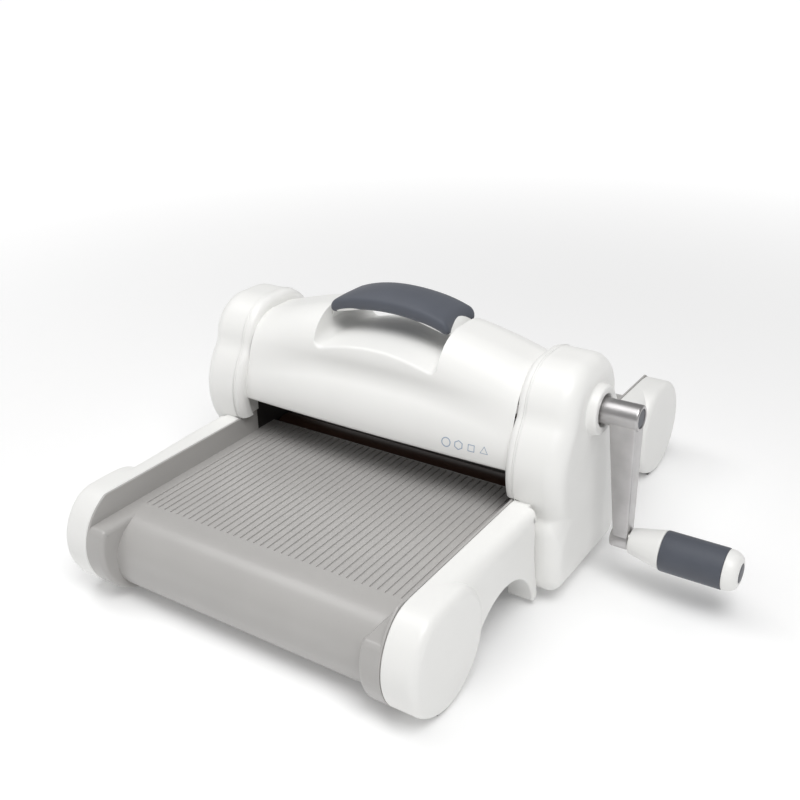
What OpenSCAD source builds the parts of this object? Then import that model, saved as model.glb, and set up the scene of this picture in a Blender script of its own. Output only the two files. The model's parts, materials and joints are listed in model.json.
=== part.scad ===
// Hand-cranked die cutting press: two geared rollers between a pair of towers, with a
// grooved feed bed in front and behind.  Millimetres.  X runs along the rollers (the crank
// is on +X), Y is the feed direction, Z is up, and the origin is the middle of the machine
// on the table.

/* [Feed bed] */
// Clear width between the bed's side walls
bed_w = 234; // [200:1:300]
// Height of the feed surface above the table
bed_z = 59.5; // [56:0.5:75]
// Thickness of the bed moulding
bed_wall = 3; // [2.5:0.1:4]
// Height of the side walls above the feed surface
side_h = 17; // [10:0.5:24]
// Radius of the rolled-over end of the bed
lip_r = 28; // [22:0.5:29]
// Distance from the middle of the machine to the centre of the rolled end
bed_reach = 169; // [150:1:220]
// Distance from groove to groove
groove_pitch = 5.7; // [4:0.1:12]
// Width of one groove
groove_w = 1.7; // [1:0.1:2.5]
// Depth of one groove
groove_d = 1; // [0.5:0.1:1.5]

/* [Side rails] */
// Radius of the round foot disc at each end of a rail, whose top is cut level with it
disc_r = 40.5; // [36:0.5:46]
// Thickness of the disc
disc_t = 22.8; // [18:0.1:30]
// Thickness of the rail beside the bed
rail_t = 19.1; // [14:0.1:26]
// Radius of the arched cut-out under a rail
arch_r = 45; // [36:0.5:48]
// Wall thickness of the rails and towers
shell_wall = 2.8; // [2:0.1:4]
// Thickness of the rubber pad under each disc
pad_t = 2.2; // [1.5:0.1:3]

/* [Towers] */
// Height of the towers above the table
tower_h = 164; // [160:1:190]
// Distance that a tower overhangs the bed
tower_overhang = 5; // [2:0.5:8]
// Width of a tower along the rollers
tower_t = 40; // [38:0.5:60]
// Half of the flat on top of a tower
top_flat = 10; // [8:0.5:20]
// Radius of the top corners of a tower
top_r = 32; // [24:0.5:34]
// Radius of the round middle lobe
mid_r = 55; // [50:0.5:60]
// Height of the centre of the middle lobe
mid_z = 98; // [90:0.5:105]
// Half width of the skirt below the lobe
skirt_half = 51; // [48:0.5:56]
// Height of the skirt's top edge
skirt_top = 67; // [62:0.5:70]
// Gap between a tower and the table
tower_lift = 9; // [5:0.5:14]
// Thickness of the trim ring on the inner edge of a tower
trim_t = 4; // [3:0.1:6]

/* [Cover and handle] */
// Radius of the cover's middle lobe
cover_mid_r = 49; // [46:0.5:52]
// Radius of the cover's top lobe
cover_top_r = 31; // [26:0.5:33]
// Height of the cover's lower edge above the table
cover_edge_z = 91; // [84:0.5:92]
// Height of the crest at the ends of the cover
crest_end_z = 156; // [154:0.5:163]
// Rise of the crest from its ends to its middle
crest_rise = 18; // [8:0.5:18]
// Wall thickness of the cover
cover_wall = 3; // [2:0.1:4]
// Half length of the finger opening
grip_half = 51; // [42:1:60]
// Height of the top of the handle
grip_top_z = 188; // [182:0.5:198]
// Width of the handle along the feed direction
grip_w = 52; // [40:1:56]
// Thickness of the soft grip pad
grip_t = 2.5; // [2:0.1:3.5]

/* [Rollers and gears] */
// Diameter of both rollers
roller_d = 33; // [30:0.5:36]
// Gap between the rollers
feed_gap = 17; // [14:0.5:18]
// Diameter of the roller journals
journal_d = 16; // [12:0.5:18]
// Diameter of the gear seats on the rollers
seat_d = 12; // [10:0.5:13]
// Teeth on each roller gear
gear_teeth = 25; // [24:1:27]
// Teeth on the crank pinion
pinion_teeth = 12; // [12:1:14]
// Width of the gears
gear_w = 9.5; // [6:0.5:10]
// Pressure angle of the teeth
pressure_angle = 25; // [25:1:27]
// Play between meshing teeth, measured along the pitch circle
backlash = 0.24; // [0.15:0.01:0.4]

/* [Frame] */
// Thickness of the steel side plates
plate_t = 4; // [3:0.5:5]
// Half width of a side plate
plate_half = 38; // [36:0.5:40]
// Thickness of the outer gearbox plate
box_plate_t = 3; // [2:0.5:4]
// Diameter of the tie rods
rod_d = 8; // [6:0.5:10]
// Thickness of the black guard beside the opening
guard_t = 1.5; // [1.2:0.1:1.7]
// Running clearance between a shaft and its bearing
run_fit = 0.05; // [0.03:0.01:0.09]

/* [Crank] */
// Distance from the crank axis to the grip axis
crank_len = 91.5; // [80:1:105]
// Diameter of the crank hub
hub_d = 18; // [18:0.5:24]
// Diameter of the crank shaft
shaft_d = 10; // [8:0.5:11]
// Height of the round boss on the tower around the hub
boss_h = 6; // [4:0.5:8]
// Diameter of the lower boss that holds the grip
eye_d = 13.5; // [13:0.5:18]
// Outer diameter of the grip sleeve
sleeve_d = 28; // [28:0.5:36]
// Length of the grip sleeve
sleeve_l = 41.5; // [35:1:55]
// Diameter of the axle inside the grip
axle_d = 8; // [6:0.5:9]

/* [Hidden] */
$fn = 96;
SIDES = [-1, 1];

white_c = [0.93, 0.93, 0.92];
tray_c = [0.62, 0.62, 0.61];
dark_c = [0.29, 0.31, 0.34];
black_c = [0.08, 0.08, 0.08];
steel_c = [0.62, 0.63, 0.65];
nylon_c = [0.85, 0.84, 0.78];

// Across the machine
wall_x = bed_w / 2;                       // inner face of a tray side wall
wall_t = 1.6;                             // thickness of that wall
rail_x = wall_x + wall_t + 0.3;           // inner face of a rail
tower_x = wall_x - tower_overhang;        // inner face of a tower
tower_end = tower_x + tower_t;            // outer face of a tower
guard_x = wall_x + 1;                     // inner face of a guard
plate_x = guard_x + 4;                    // inner face of a side plate
gear_x = plate_x + plate_t + 4;           // inner face of the gears
box_x = gear_x + gear_w + 2.5;            // inner face of the gearbox plate
roller_end = wall_x - 0.5;                // end of a roller's working length

// Heights
wall_top = bed_z + side_h;
gear_m = (roller_d + feed_gap) / gear_teeth;
low_z = bed_z - roller_d / 2;
high_z = low_z + gear_m * gear_teeth;
crank_z = high_z + gear_m * (gear_teeth + pinion_teeth) / 2;
grip_z = crank_z - crank_len;
disc_z = disc_r + 0.5;
lip_z = bed_z - lip_r;
top_z = tower_h - top_r;
cut_z = wall_top + 0.8;                   // underside of what overhangs the bed

// Along the feed direction
bed_in = 11;                              // bed edge beside the roller slot
wall_in = 32;                             // inner end of a tray side wall
rail_in = skirt_half + 5;                 // end face of a rail at the tower
arch_y = (bed_reach + rail_in) / 2 - 15.5;
reveal_half = 31.5;                       // half width of the window in a trim

// Tie rods, spacers and fixings, as [y, z]
rod_low = [30, low_z - 19];
rod_high = [reveal_half - rod_d / 2 - 0.5, crank_z - 12];
spacer_spots = [[-33, (low_z + high_z) / 2], [33, (low_z + high_z) / 2], [-29, crank_z], [29, crank_z]];
tower_spots = [[-33, high_z + 9], [33, high_z + 9], [-34, low_z - 9], [34, low_z - 9]];
cover_spots = [[-23, 146], [23, 146], [-37, 108], [37, 108]];
tray_spots = [bed_reach - 30, rail_in + 22];
rod_thread = 5;

// Crank
hub_in = box_x + box_plate_t + 2.5;
boss_x = tower_end + boss_h;
arm_out = boss_x + 24;
hub_out = arm_out + 1;
shaft_out = arm_out - 15;
bolt_seat = shaft_out + 7;
shaft_in = plate_x - 2;
sleeve_in = arm_out + 24;
sleeve_out = sleeve_in + sleeve_l;
core_out = sleeve_out + 9.5;
core_r = sleeve_d / 2 - 2.8;

// ---- helpers ----

// Sweep a (y, z) outline along X from x0 to x1.
module along_x(x0, x1) translate([x0, 0, 0]) rotate([90, 0, 90]) linear_extrude(x1 - x0) children();

// Sweep an (x, z) outline along Y from y0 to y1.
module along_y(y0, y1) translate([0, y1, 0]) rotate([90, 0, 0]) linear_extrude(y1 - y0) children();

// Round bar of radius r along X.
module bar_x(r, x0, x1, y = 0, z = 0) translate([x0, y, z]) rotate([0, 90, 0]) cylinder(r = r, h = x1 - x0);

// Box between two corners.
module block(a, b) translate(a) cube(b - a);

// Rectangle between two corners.
module panel(a, b) translate(a) square(b - a);

// Show children on the side where sx is 1 or -1.
module at_side(sx) mirror([sx > 0 ? 0 : 1, 0, 0]) children();

// Show children at the front where sy is -1, or behind where it is 1.
module at_end(sy) mirror([0, sy > 0 ? 1 : 0, 0]) children();

// Screw along +X with a low round head whose underside is at x.
module screw_x(x, l, r, y, z, head_r = 3.4, head_h = 1.8) {
    bar_x(head_r, x - head_h, x, y, z);
    bar_x(r, x - 0.2, x + l, y, z);
}

// ---- outlines in the (y, z) plane ----

// Rounded block, symmetric in y, drawn in by g all round.
module rounded_block(half, z0, z1, r, g) {
    for (s = SIDES) {
        translate([s * (half - r), z0 + r]) circle(r - g);
        translate([s * (half - r), z1 - r]) circle(r - g);
    }
    panel([-(half - g), z0 + r], [half - g, z1 - r]);
    panel([-(half - r), z0 + g], [half - r, z1 - g]);
}

// The two upper lobes of a tower, drawn in by g.
module lobes(g) {
    for (s = SIDES) translate([s * top_flat, top_z]) circle(top_r - g);
    panel([-top_flat, mid_z], [top_flat, tower_h - g]);
    translate([0, mid_z]) circle(mid_r - g);
}

// Whole tower outline, drawn in by g.
module tower_outline(g) {
    lobes(g);
    rounded_block(skirt_half, tower_lift, skirt_top, 12, g);
}

// Cover outline, drawn in by g.
module cover_outline(g) {
    crest = crest_end_z + crest_rise;
    for (s = SIDES) translate([s * 8, crest - 1 - cover_top_r]) circle(cover_top_r - g);
    panel([-8, mid_z], [8, crest - 1 - g]);
    translate([0, mid_z]) circle(cover_mid_r - g);
}

// ---- bed ----

// Side view of a foot disc, collar or side wall end: a round cut level with z1.
module disc_side(r, z1) intersection() {
    translate([-bed_reach, disc_z]) circle(r);
    panel([-bed_reach - r, 0], [-bed_reach + r, z1]);
}

module tray_lip() {
    intersection() {
        difference() {
            translate([-bed_reach, lip_z]) circle(lip_r);
            translate([-bed_reach, lip_z]) circle(lip_r - bed_wall);
        }
        panel([-bed_reach - lip_r, lip_z - lip_r], [-bed_reach, bed_z]);
    }
    panel([-bed_reach, lip_z - lip_r], [-bed_reach + 12, lip_z - lip_r + bed_wall]);
    panel([-bed_reach, bed_z - bed_wall], [-bed_in, bed_z]);
}

module collar() {
    difference() {
        disc_side(disc_r - 0.5, bed_z);
        disc_side(disc_r - 0.5 - bed_wall, bed_z - bed_wall);
        panel([-bed_reach, 0], [-bed_reach + disc_r, bed_z - bed_wall]);
    }
}

module tray_wall() {
    disc_side(disc_r - 0.5, wall_top);
    panel([-bed_reach, bed_z - 16], [-wall_in, wall_top]);
}

module tray() color(tray_c) {
    grooves = floor((wall_x - 4) / groove_pitch);
    difference() {
        union() {
            along_x(-wall_x - wall_t / 2, wall_x + wall_t / 2) tray_lip();
            for (s = SIDES) at_side(s) {
                along_x(wall_x - 13, wall_x + wall_t) collar();
                along_x(wall_x, wall_x + wall_t) tray_wall();
            }
        }
        for (s = SIDES) at_side(s)
            block([wall_x - 1, -wall_in, 0], [rail_x, 0, bed_z + 1]);
        for (i = [-grooves : grooves])
            block([i * groove_pitch - groove_w / 2, -bed_reach + 8, bed_z - groove_d],
                  [i * groove_pitch + groove_w / 2, -bed_in - 2, bed_z + 1]);
        for (s = SIDES) at_side(s) for (y = tray_spots)
            bar_x(1.9, wall_x - 1, rail_x, -y, bed_z - 10);
        for (s = SIDES) at_side(s) {
            bar_x(1.9, wall_x - 1, rail_x, -45, bed_z - 11);
            bar_x(3.4, wall_x - 1, rail_x, -34.5, bed_z - 11);
        }
    }
}

// ---- rails ----

module rail_side() {
    difference() {
        polygon([[-bed_reach, 20], [-bed_reach, wall_top], [-rail_in, wall_top],
                 [-rail_in, 30], [-rail_in + 2, 20], [-rail_in + 7, 8], [-rail_in + 2, 5],
                 [-bed_reach + 30, 5]]);
        translate([-arch_y, -2]) circle(arch_r);
    }
}

module rail_hollow() {
    panel([-bed_reach + 10, 4], [-rail_in - shell_wall, wall_top - shell_wall]);
}

module rail() color(white_c) {
    x1 = rail_x + shell_wall;
    difference() {
        union() {
            along_x(rail_x, rail_x + rail_t) rail_side();
            along_x(rail_x, rail_x + disc_t) disc_side(disc_r, wall_top);
        }
        along_x(x1, rail_x + rail_t - shell_wall) rail_hollow();
        along_x(x1, rail_x + disc_t - shell_wall) disc_side(disc_r - 4, wall_top - shell_wall);
        along_x(rail_x - 1, rail_x + disc_t + 1) intersection() {
            translate([-arch_y, -2]) circle(arch_r);
            panel([-bed_reach + disc_r - 3, 0], [-rail_in + 4, 60]);
        }
        for (y = tray_spots) bar_x(1.5, rail_x - 1, x1 + 1, -y, bed_z - 10);
        foot_block(0.05);
    }
    for (y = tray_spots) difference() {
        bar_x(4, rail_x, rail_x + 10, -y, bed_z - 10);
        bar_x(1.5, rail_x - 1, rail_x + 9, -y, bed_z - 10);
    }
}

// Rubber pad let into the bottom of a disc, grown by c on its sides and top.
module foot_block(c) {
    mid = rail_x + disc_t / 2;
    block([mid - 7 - c, -bed_reach - 9 - c, 0], [mid + 7 + c, -bed_reach + 9 + c, pad_t + c]);
}

module foot() color(black_c) foot_block(0);

// ---- towers ----

module tower_bosses() for (p = tower_spots)
    bar_x(4, plate_x + plate_t + 0.2, tower_end - shell_wall + 0.5, p[0], p[1]);

module tower_body() {
    difference() {
        union() {
            difference() {
                along_x(tower_x + trim_t + 0.3, tower_end) tower_outline(0);
                along_x(tower_x, tower_end - shell_wall) tower_outline(shell_wall);
            }
            tower_bosses();
        }
        block([0, -80, 0], [plate_x + 0.5, 80, cut_z]);
        for (p = tower_spots)
            bar_x(1.5, plate_x, tower_end - shell_wall - 1, p[0], p[1]);
    }
}

module left_tower() color(white_c) at_side(-1) tower_body();

// The crank side carries a round boss with a clearance hole for the hub.
module right_tower() color(white_c) difference() {
    union() {
        tower_body();
        bar_x(hub_d / 2 + 8.5, tower_end - 1, boss_x, 0, crank_z);
    }
    bar_x(hub_d / 2 + 2.2, tower_end - 12, boss_x + 1, 0, crank_z);
}

module trim() color(white_c) {
    lip_x = tower_x + trim_t;
    difference() {
        union() {
            along_x(tower_x, lip_x) tower_outline(0);
            along_x(lip_x - 0.1, guard_x + guard_t) tower_outline(shell_wall + 0.2);
        }
        along_x(tower_x - 1, guard_x) lobes(16);
        along_x(tower_x - 1, guard_x) intersection() {
            lobes(9);
            panel([-mid_r, 0], [mid_r, 100]);
        }
        along_x(guard_x - 1, guard_x + guard_t + 1)
            panel([-reveal_half, 0], [reveal_half, crank_z + 15]);
        block([0, -80, 0], [plate_x, 80, cut_z]);
        for (p = cover_spots) bar_x(1.9, tower_x - 1, guard_x + 2, p[0], p[1]);
    }
}

module guard() color(black_c) difference() {
    block([guard_x, -reveal_half + 0.3, low_z - 13], [guard_x + guard_t, reveal_half - 0.3, high_z + 20]);
    for (z = [low_z, high_z]) bar_x(journal_d / 2 + 1, guard_x - 1, guard_x + guard_t + 1, 0, z);
}

// ---- cover and handle ----

crest_z = crest_end_z + crest_rise;
cover_half = tower_x - 0.3;
crest_arc = (pow(cover_half, 2) + pow(crest_rise, 2)) / (2 * crest_rise);
grip_end_z = crest_z - crest_rise * pow(grip_half / cover_half, 2);
grip_sag = grip_top_z - grip_end_z;
grip_arc = (pow(grip_half, 2) + pow(grip_sag, 2)) / (2 * grip_sag);
under_z = grip_top_z - 12.6;              // underside of the handle at its middle
under_arc = 153;
floor_z = under_z - 18.4;                 // crest of the finger opening's floor
floor_arc = 86;

// Everything below the cover's crest line, lowered by g, as an (x, z) outline.
module under_crest(g) intersection() {
    translate([0, crest_z - crest_arc]) circle(crest_arc - g, $fn = 240);
    panel([-cover_half - 1, 0], [cover_half + 1, crest_z]);
}

// Arched handle drawn in by g, with its ends at +-x_end.
module handle_solid(g, x_end) intersection() {
    along_y(-grip_w / 2 + g, grip_w / 2 - g) difference() {
        intersection() {
            translate([0, grip_top_z - grip_arc]) circle(grip_arc - g, $fn = 180);
            panel([-x_end, floor_z - 2], [x_end, grip_top_z]);
        }
        translate([0, under_z - under_arc]) circle(under_arc, $fn = 240);
    }
    along_x(-x_end, x_end) translate([0, grip_top_z - 40]) circle(40 - g);
}

module finger_opening() difference() {
    along_y(-70, 70) intersection() {
        translate([0, under_z - under_arc]) circle(under_arc, $fn = 240);
        panel([-grip_half - 1, 130], [grip_half + 1, under_z + 1]);
    }
    along_x(-grip_half - 2, grip_half + 2) translate([0, floor_z - floor_arc]) circle(floor_arc);
}

module cover_hollow() {
    g = cover_wall;
    mid_end = grip_half + 1 + g;
    for (s = SIDES) at_side(s) intersection() {
        along_x(mid_end, cover_half - g) cover_outline(g);
        along_y(-60, 60) under_crest(g);
    }
    intersection() {
        along_x(-mid_end - 0.1, mid_end + 0.1) cover_outline(g);
        along_x(-mid_end - 0.1, mid_end + 0.1) translate([0, floor_z - floor_arc]) circle(floor_arc - g);
    }
    block([-cover_half + g, -cover_mid_r + g, 0], [cover_half - g, cover_mid_r - g, cover_edge_z + 2]);
}

module top_cover() color(white_c) difference() {
    union() {
        difference() {
            intersection() {
                along_x(-cover_half, cover_half) cover_outline(0);
                along_y(-60, 60) under_crest(0);
            }
            handle_solid(0, grip_half + 0.1);
            cover_hollow();
        }
        handle_solid(grip_t + 0.05, grip_half + 1.2);
        for (s = SIDES) at_side(s) for (p = cover_spots) intersection() {
            bar_x(4.5, cover_half - 12, cover_half, p[0], p[1]);
            along_x(0, cover_half) cover_outline(1);
        }
    }
    finger_opening();
    block([-cover_half - 1, -60, 0], [cover_half + 1, 60, cover_edge_z]);
    for (s = SIDES) at_side(s) {
        for (p = cover_spots) bar_x(1.5, cover_half - 11, cover_half + 1, p[0], p[1]);
        along_x(cover_half - 5, cover_half + 1) cover_mouth();
    }
}

// Opening in the cover's end walls that clears the rods and the roller.
module cover_mouth() intersection() {
    cover_outline(10);
    panel([-reveal_half, 0], [reveal_half, high_z + 47]);
}

module carry_grip() color(dark_c) difference() {
    handle_solid(0, grip_half);
    handle_solid(grip_t, grip_half + 1);
}

// ---- frame ----

module plate_outline() polygon([
    [-plate_half, tower_lift + 5], [plate_half, tower_lift + 5], [plate_half, crank_z - 4],
    [24, crank_z + 18], [-24, crank_z + 18], [-plate_half, crank_z - 4]]);

module side_plate() color(steel_c) difference() {
    along_x(plate_x, plate_x + plate_t) plate_outline();
    for (z = [low_z, high_z]) bar_x(journal_d / 2 + 3, plate_x - 1, plate_x + plate_t + 1, 0, z);
    for (s = SIDES) for (p = [rod_low, rod_high])
        bar_x(rod_d / 2 - 0.9, plate_x - 1, plate_x + plate_t + 1, s * p[0], p[1]);
    for (p = tower_spots) bar_x(1.9, plate_x - 1, plate_x + plate_t + 1, p[0], p[1]);
    for (s = SIDES) bar_x(1.5, plate_x - 1, plate_x + plate_t + 1, s * 34.5, bed_z - 11);
    for (s = SIDES) bar_x(1.5, plate_x - 1, plate_x + plate_t + 1, s * 16, tower_lift + 11);
}

module right_side_plate() difference() {
    side_plate();
    bar_x(shaft_d / 2 + 3, plate_x - 1, plate_x + plate_t + 1, 0, crank_z);
    for (p = spacer_spots) bar_x(1.9, plate_x - 1, plate_x + plate_t + 1, p[0], p[1]);
}

module gearbox_plate() color(steel_c) difference() {
    along_x(box_x, box_x + box_plate_t) polygon([
        [-37, (low_z + high_z) / 2 - 6], [37, (low_z + high_z) / 2 - 6], [37, crank_z - 8],
        [33, crank_z + 8], [12, crank_z + 15], [-12, crank_z + 15], [-33, crank_z + 8],
        [-37, crank_z - 8]]);
    bar_x(shaft_d / 2 + 3, box_x - 1, box_x + box_plate_t + 1, 0, crank_z);
    bar_x(seat_d / 2 + 4, box_x - 1, box_x + box_plate_t + 1, 0, high_z);
    for (p = spacer_spots) bar_x(1.9, box_x - 1, box_x + box_plate_t + 1, p[0], p[1]);
    for (p = tower_spots) bar_x(4.6, box_x - 1, box_x + box_plate_t + 1, p[0], p[1]);
}

module gearbox_spacers() color(steel_c) for (p = spacer_spots) difference() {
    bar_x(4, plate_x + plate_t, box_x, p[0], p[1]);
    bar_x(1.5, plate_x + plate_t - 1, box_x + 1, p[0], p[1]);
}

module gearbox_screws() color(steel_c) for (p = spacer_spots) {
    at_side(-1) screw_x(-box_x - box_plate_t, box_plate_t + 6, 1.5, p[0], p[1]);
    screw_x(plate_x, plate_t + 6, 1.5, p[0], p[1]);
}

// A pair of rods with shoulders against the side plates and threaded ends beyond them.
module tie_rods(p) color(steel_c) for (s = SIDES) {
    bar_x(rod_d / 2, -plate_x, plate_x, s * p[0], p[1]);
    end_x = plate_x + plate_t + rod_thread;
    bar_x(rod_d / 2 - 1, -end_x, end_x, s * p[0], p[1]);
}

module hex_nut(x, y, z) difference() {
    translate([x, y, z]) rotate([0, 90, 0]) cylinder(r = 5.4, h = 3.6, $fn = 6);
    bar_x(rod_d / 2 - 0.95, x - 1, x + 5, y, z);
}

module tie_rod_nuts() color(steel_c) for (sx = SIDES) at_side(sx) for (sy = SIDES)
    for (p = [rod_low, rod_high]) hex_nut(plate_x + plate_t, sy * p[0], p[1]);

module base_pan() color(steel_c) {
    z0 = tower_lift + 5;
    block([-plate_x, -plate_half + 8, z0], [plate_x, plate_half - 8, z0 + 1.5]);
    for (s = SIDES) at_side(s) difference() {
        block([plate_x - 1.5, -plate_half + 8, z0], [plate_x, plate_half - 8, z0 + 12]);
        for (sy = SIDES) bar_x(1.9, plate_x - 3, plate_x + 1, sy * 16, tower_lift + 11);
        for (sy = SIDES) bar_x(5.5, plate_x - 3, plate_x + 1, sy * rod_low[0], rod_low[1]);
    }
}

// Flat steel strap that joins a tray wall to a side plate.
module bracket() difference() {
    block([rail_x, -rail_in + 2, bed_z - 16], [plate_x, -reveal_half - 0.3, bed_z - 6]);
    bar_x(1.9, rail_x - 1, plate_x + 1, -45, bed_z - 11);
    bar_x(1.9, rail_x - 1, plate_x + 1, -34.5, bed_z - 11);
}

module on_corners() for (sx = SIDES) at_side(sx) for (sy = SIDES) at_end(sy) children();

module tray_brackets() color(steel_c) on_corners() bracket();

module tray_screws() color(steel_c) on_corners() for (y = tray_spots)
    screw_x(wall_x, 9.5, 1.5, -y, bed_z - 10);

module frame_screws() color(steel_c) {
    on_corners() screw_x(rail_x, plate_x - rail_x + plate_t - 0.5, 1.5, -34.5, bed_z - 11, 3, 0.9);
    on_corners() at_side(-1)
        screw_x(-plate_x, plate_x - wall_x - 0.5, 1.5, -45, bed_z - 11, 3, 1.6);
    on_corners() screw_x(plate_x - 1.5, plate_t + 1, 1.5, -16, tower_lift + 11, 3, 1.6);
}

module tower_screws() color(steel_c) for (s = SIDES) at_side(s) for (p = tower_spots)
    screw_x(plate_x, 14, 1.5, p[0], p[1], 3.4, 1.6);

module cover_screws() color(steel_c) for (s = SIDES) at_side(s) for (p = cover_spots)
    at_side(-1) screw_x(-guard_x - guard_t, 15, 1.5, p[0], p[1], 3.4, 1.6);

// Flanged bearing bush for a shaft of diameter d, its flange outside the plate.
module bushing(x, d, z, t) color(nylon_c) difference() {
    union() {
        bar_x(d / 2 + 3, x - 0.6, x + t, 0, z);
        bar_x(d / 2 + 5, x + t, x + t + 1.4, 0, z);
    }
    bar_x(d / 2 + run_fit, x - 2, x + t + 3, 0, z);
}

// ---- rollers ----

module roller(z) color([0.17, 0.15, 0.14]) {
    left_end = plate_x + plate_t + 6;
    right_end = gear_x + gear_w + 2;
    difference() {
        union() {
            bar_x(roller_d / 2, -roller_end, roller_end, 0, z);
            bar_x(journal_d / 2, -left_end, gear_x - 0.4, 0, z);
            bar_x(seat_d / 2, gear_x - 1, right_end, 0, z);
        }
        ring(-left_end + 1.6, journal_d / 2 - 0.8, journal_d / 2 + 1, 1.3, z);
        ring(right_end - 1.2 - 0.6, seat_d / 2 - 0.7, seat_d / 2 + 1, 1.3, z);
        key_block(z, 0.02);
    }
}

// Ring of width w whose first face is at x.
module ring(x, r_in, r_out, w, z) difference() {
    bar_x(r_out, x, x + w, 0, z);
    bar_x(r_in, x - 1, x + w + 1, 0, z);
}

module key_block(z, c) block(
    [gear_x + 0.8 - c, -1.5 - c, z + seat_d / 2 - 1.6 - c],
    [gear_x + gear_w - 0.8 + c, 1.5 + c, z + seat_d / 2 + 1.4 + c]);

module key(z) color(steel_c) key_block(z, 0);

// Split retaining rings on both ends of a roller.
module circlips(z) color(steel_c) {
    left_end = plate_x + plate_t + 6;
    right_end = gear_x + gear_w + 2;
    difference() {
        union() {
            ring(-left_end + 1.7, journal_d / 2 - 0.75, journal_d / 2 + 2.2, 1.1, z);
            ring(right_end - 1.7, seat_d / 2 - 0.65, seat_d / 2 + 2, 1.1, z);
        }
        block([-left_end - 1, -1.6, z - journal_d], [right_end + 1, 1.6, z]);
    }
}

// ---- gears ----

function inv_deg(a) = tan(a) * 180 / PI - a;

// Half angle of a tooth at radius r.
function tooth_half(r, rp, rb, half) =
    half + inv_deg(pressure_angle) - inv_deg(acos(min(1, rb / r)));

// Outline of a spur gear with a tooth centred on +X of the outline.
function gear_points(n) =
    let (rp = gear_m * n / 2, rb = rp * cos(pressure_angle),
         ra = rp + gear_m * 0.97, rf = rp - gear_m * 1.2,
         r0 = max(rb, rf) + 0.01, steps = 6,
         half = 90 / n - backlash / 4 / rp * 180 / PI)
    [for (i = [0 : n - 1])
        let (mid = i * 360 / n)
        each concat(
            [let (a = mid - tooth_half(r0, rp, rb, half)) [rf * cos(a), rf * sin(a)]],
            [for (k = [0 : steps])
                let (r = r0 + (ra - r0) * k / steps, a = mid - tooth_half(r, rp, rb, half))
                [r * cos(a), r * sin(a)]],
            [for (k = [steps : -1 : 0])
                let (r = r0 + (ra - r0) * k / steps, a = mid + tooth_half(r, rp, rb, half))
                [r * cos(a), r * sin(a)]],
            [let (a = mid + tooth_half(r0, rp, rb, half)) [rf * cos(a), rf * sin(a)]])];

// Gear around (0, z) in the (y, z) plane whose first tooth points along angle turn.
module gear_blank(n, z, turn, bore) along_x(gear_x, gear_x + gear_w) translate([0, z]) difference() {
    rotate(turn) polygon(gear_points(n));
    circle(bore);
}

module roller_gear(z, turn) color(nylon_c) difference() {
    gear_blank(gear_teeth, z, turn, seat_d / 2 + 0.03);
    key_block(z, 0.02);
    ring(gear_x + gear_w - 2, seat_d / 2 + 4, gear_m * gear_teeth / 2 - 5.5, 3, z);
    ring(gear_x - 1, seat_d / 2 + 4, gear_m * gear_teeth / 2 - 5.5, 3, z);
}

module upper_gear() roller_gear(high_z, -90 + 180 / gear_teeth);
module lower_gear() roller_gear(low_z, 90);

module crank_pinion() color(steel_c) difference() {
    gear_blank(pinion_teeth, crank_z, -90 + 180 / pinion_teeth, shaft_d / 2 + 0.03);
    translate([gear_x + gear_w / 2, 0, crank_z]) cylinder(r = 1.52, h = 40, center = true);
}

// ---- crank ----

module crank_shaft() color(steel_c) difference() {
    bar_x(shaft_d / 2, shaft_in, shaft_out, 0, crank_z);
    bar_x(2.5, shaft_out - 10, shaft_out + 1, 0, crank_z);
    translate([gear_x + gear_w / 2, 0, crank_z]) cylinder(r = 1.52, h = 40, center = true);
    translate([hub_in + 5, 0, crank_z]) rotate([90, 0, 0]) cylinder(r = 2.02, h = 40, center = true);
}

module pinion_pin() color(steel_c)
    translate([gear_x + gear_w / 2, 0, crank_z]) cylinder(r = 1.5, h = 2 * shaft_d - 2.4, center = true);

module crank_pin() color(steel_c)
    translate([hub_in + 5, 0, crank_z]) rotate([90, 0, 0]) cylinder(r = 2, h = hub_d - 1, center = true);

module crank_arm() color(steel_c) difference() {
    union() {
        bar_x(hub_d / 2, hub_in, hub_out, 0, crank_z);
        intersection() {
            along_y(-hub_d, hub_d) polygon([
                [boss_x + 3, crank_z], [arm_out, crank_z], [arm_out, grip_z],
                [arm_out - 10, grip_z], [arm_out - 11, grip_z + 8], [boss_x + 3, crank_z - 10]]);
            along_x(boss_x, arm_out + 1) polygon([
                [-hub_d / 2 + 2, crank_z], [hub_d / 2 - 2, crank_z],
                [eye_d / 2 - 1, grip_z], [-eye_d / 2 + 1, grip_z]]);
        }
        bar_x(eye_d / 2, arm_out - 10, arm_out, 0, grip_z);
    }
    bar_x(shaft_d / 2 + 0.03, hub_in - 1, shaft_out + 0.1, 0, crank_z);
    bar_x(2.6, shaft_out, bolt_seat + 1, 0, crank_z);
    bar_x(hub_d / 2 - 2.5, bolt_seat, hub_out + 1, 0, crank_z);
    bar_x(axle_d / 2 - 1, arm_out - 12, arm_out + 1, 0, grip_z);
    translate([hub_in + 5, 0, crank_z]) rotate([90, 0, 0]) cylinder(r = 2.02, h = 40, center = true);
    block([arm_out - 1, -1, (crank_z + grip_z) / 2 - 11], [arm_out + 1, 1, (crank_z + grip_z) / 2 - 6]);
}

module crank_bolt() color(steel_c) {
    bar_x(2.5, shaft_out - 9, bolt_seat + 0.5, 0, crank_z);
    bar_x(4.6, bolt_seat, bolt_seat + 3.4, 0, crank_z);
}

module hub_cap() color(dark_c) {
    bar_x(hub_d / 2 - 2.55, hub_out - 2, hub_out - 0.3, 0, crank_z);
    bar_x(3, bolt_seat + 3.5, hub_out - 1, 0, crank_z);
}

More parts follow.
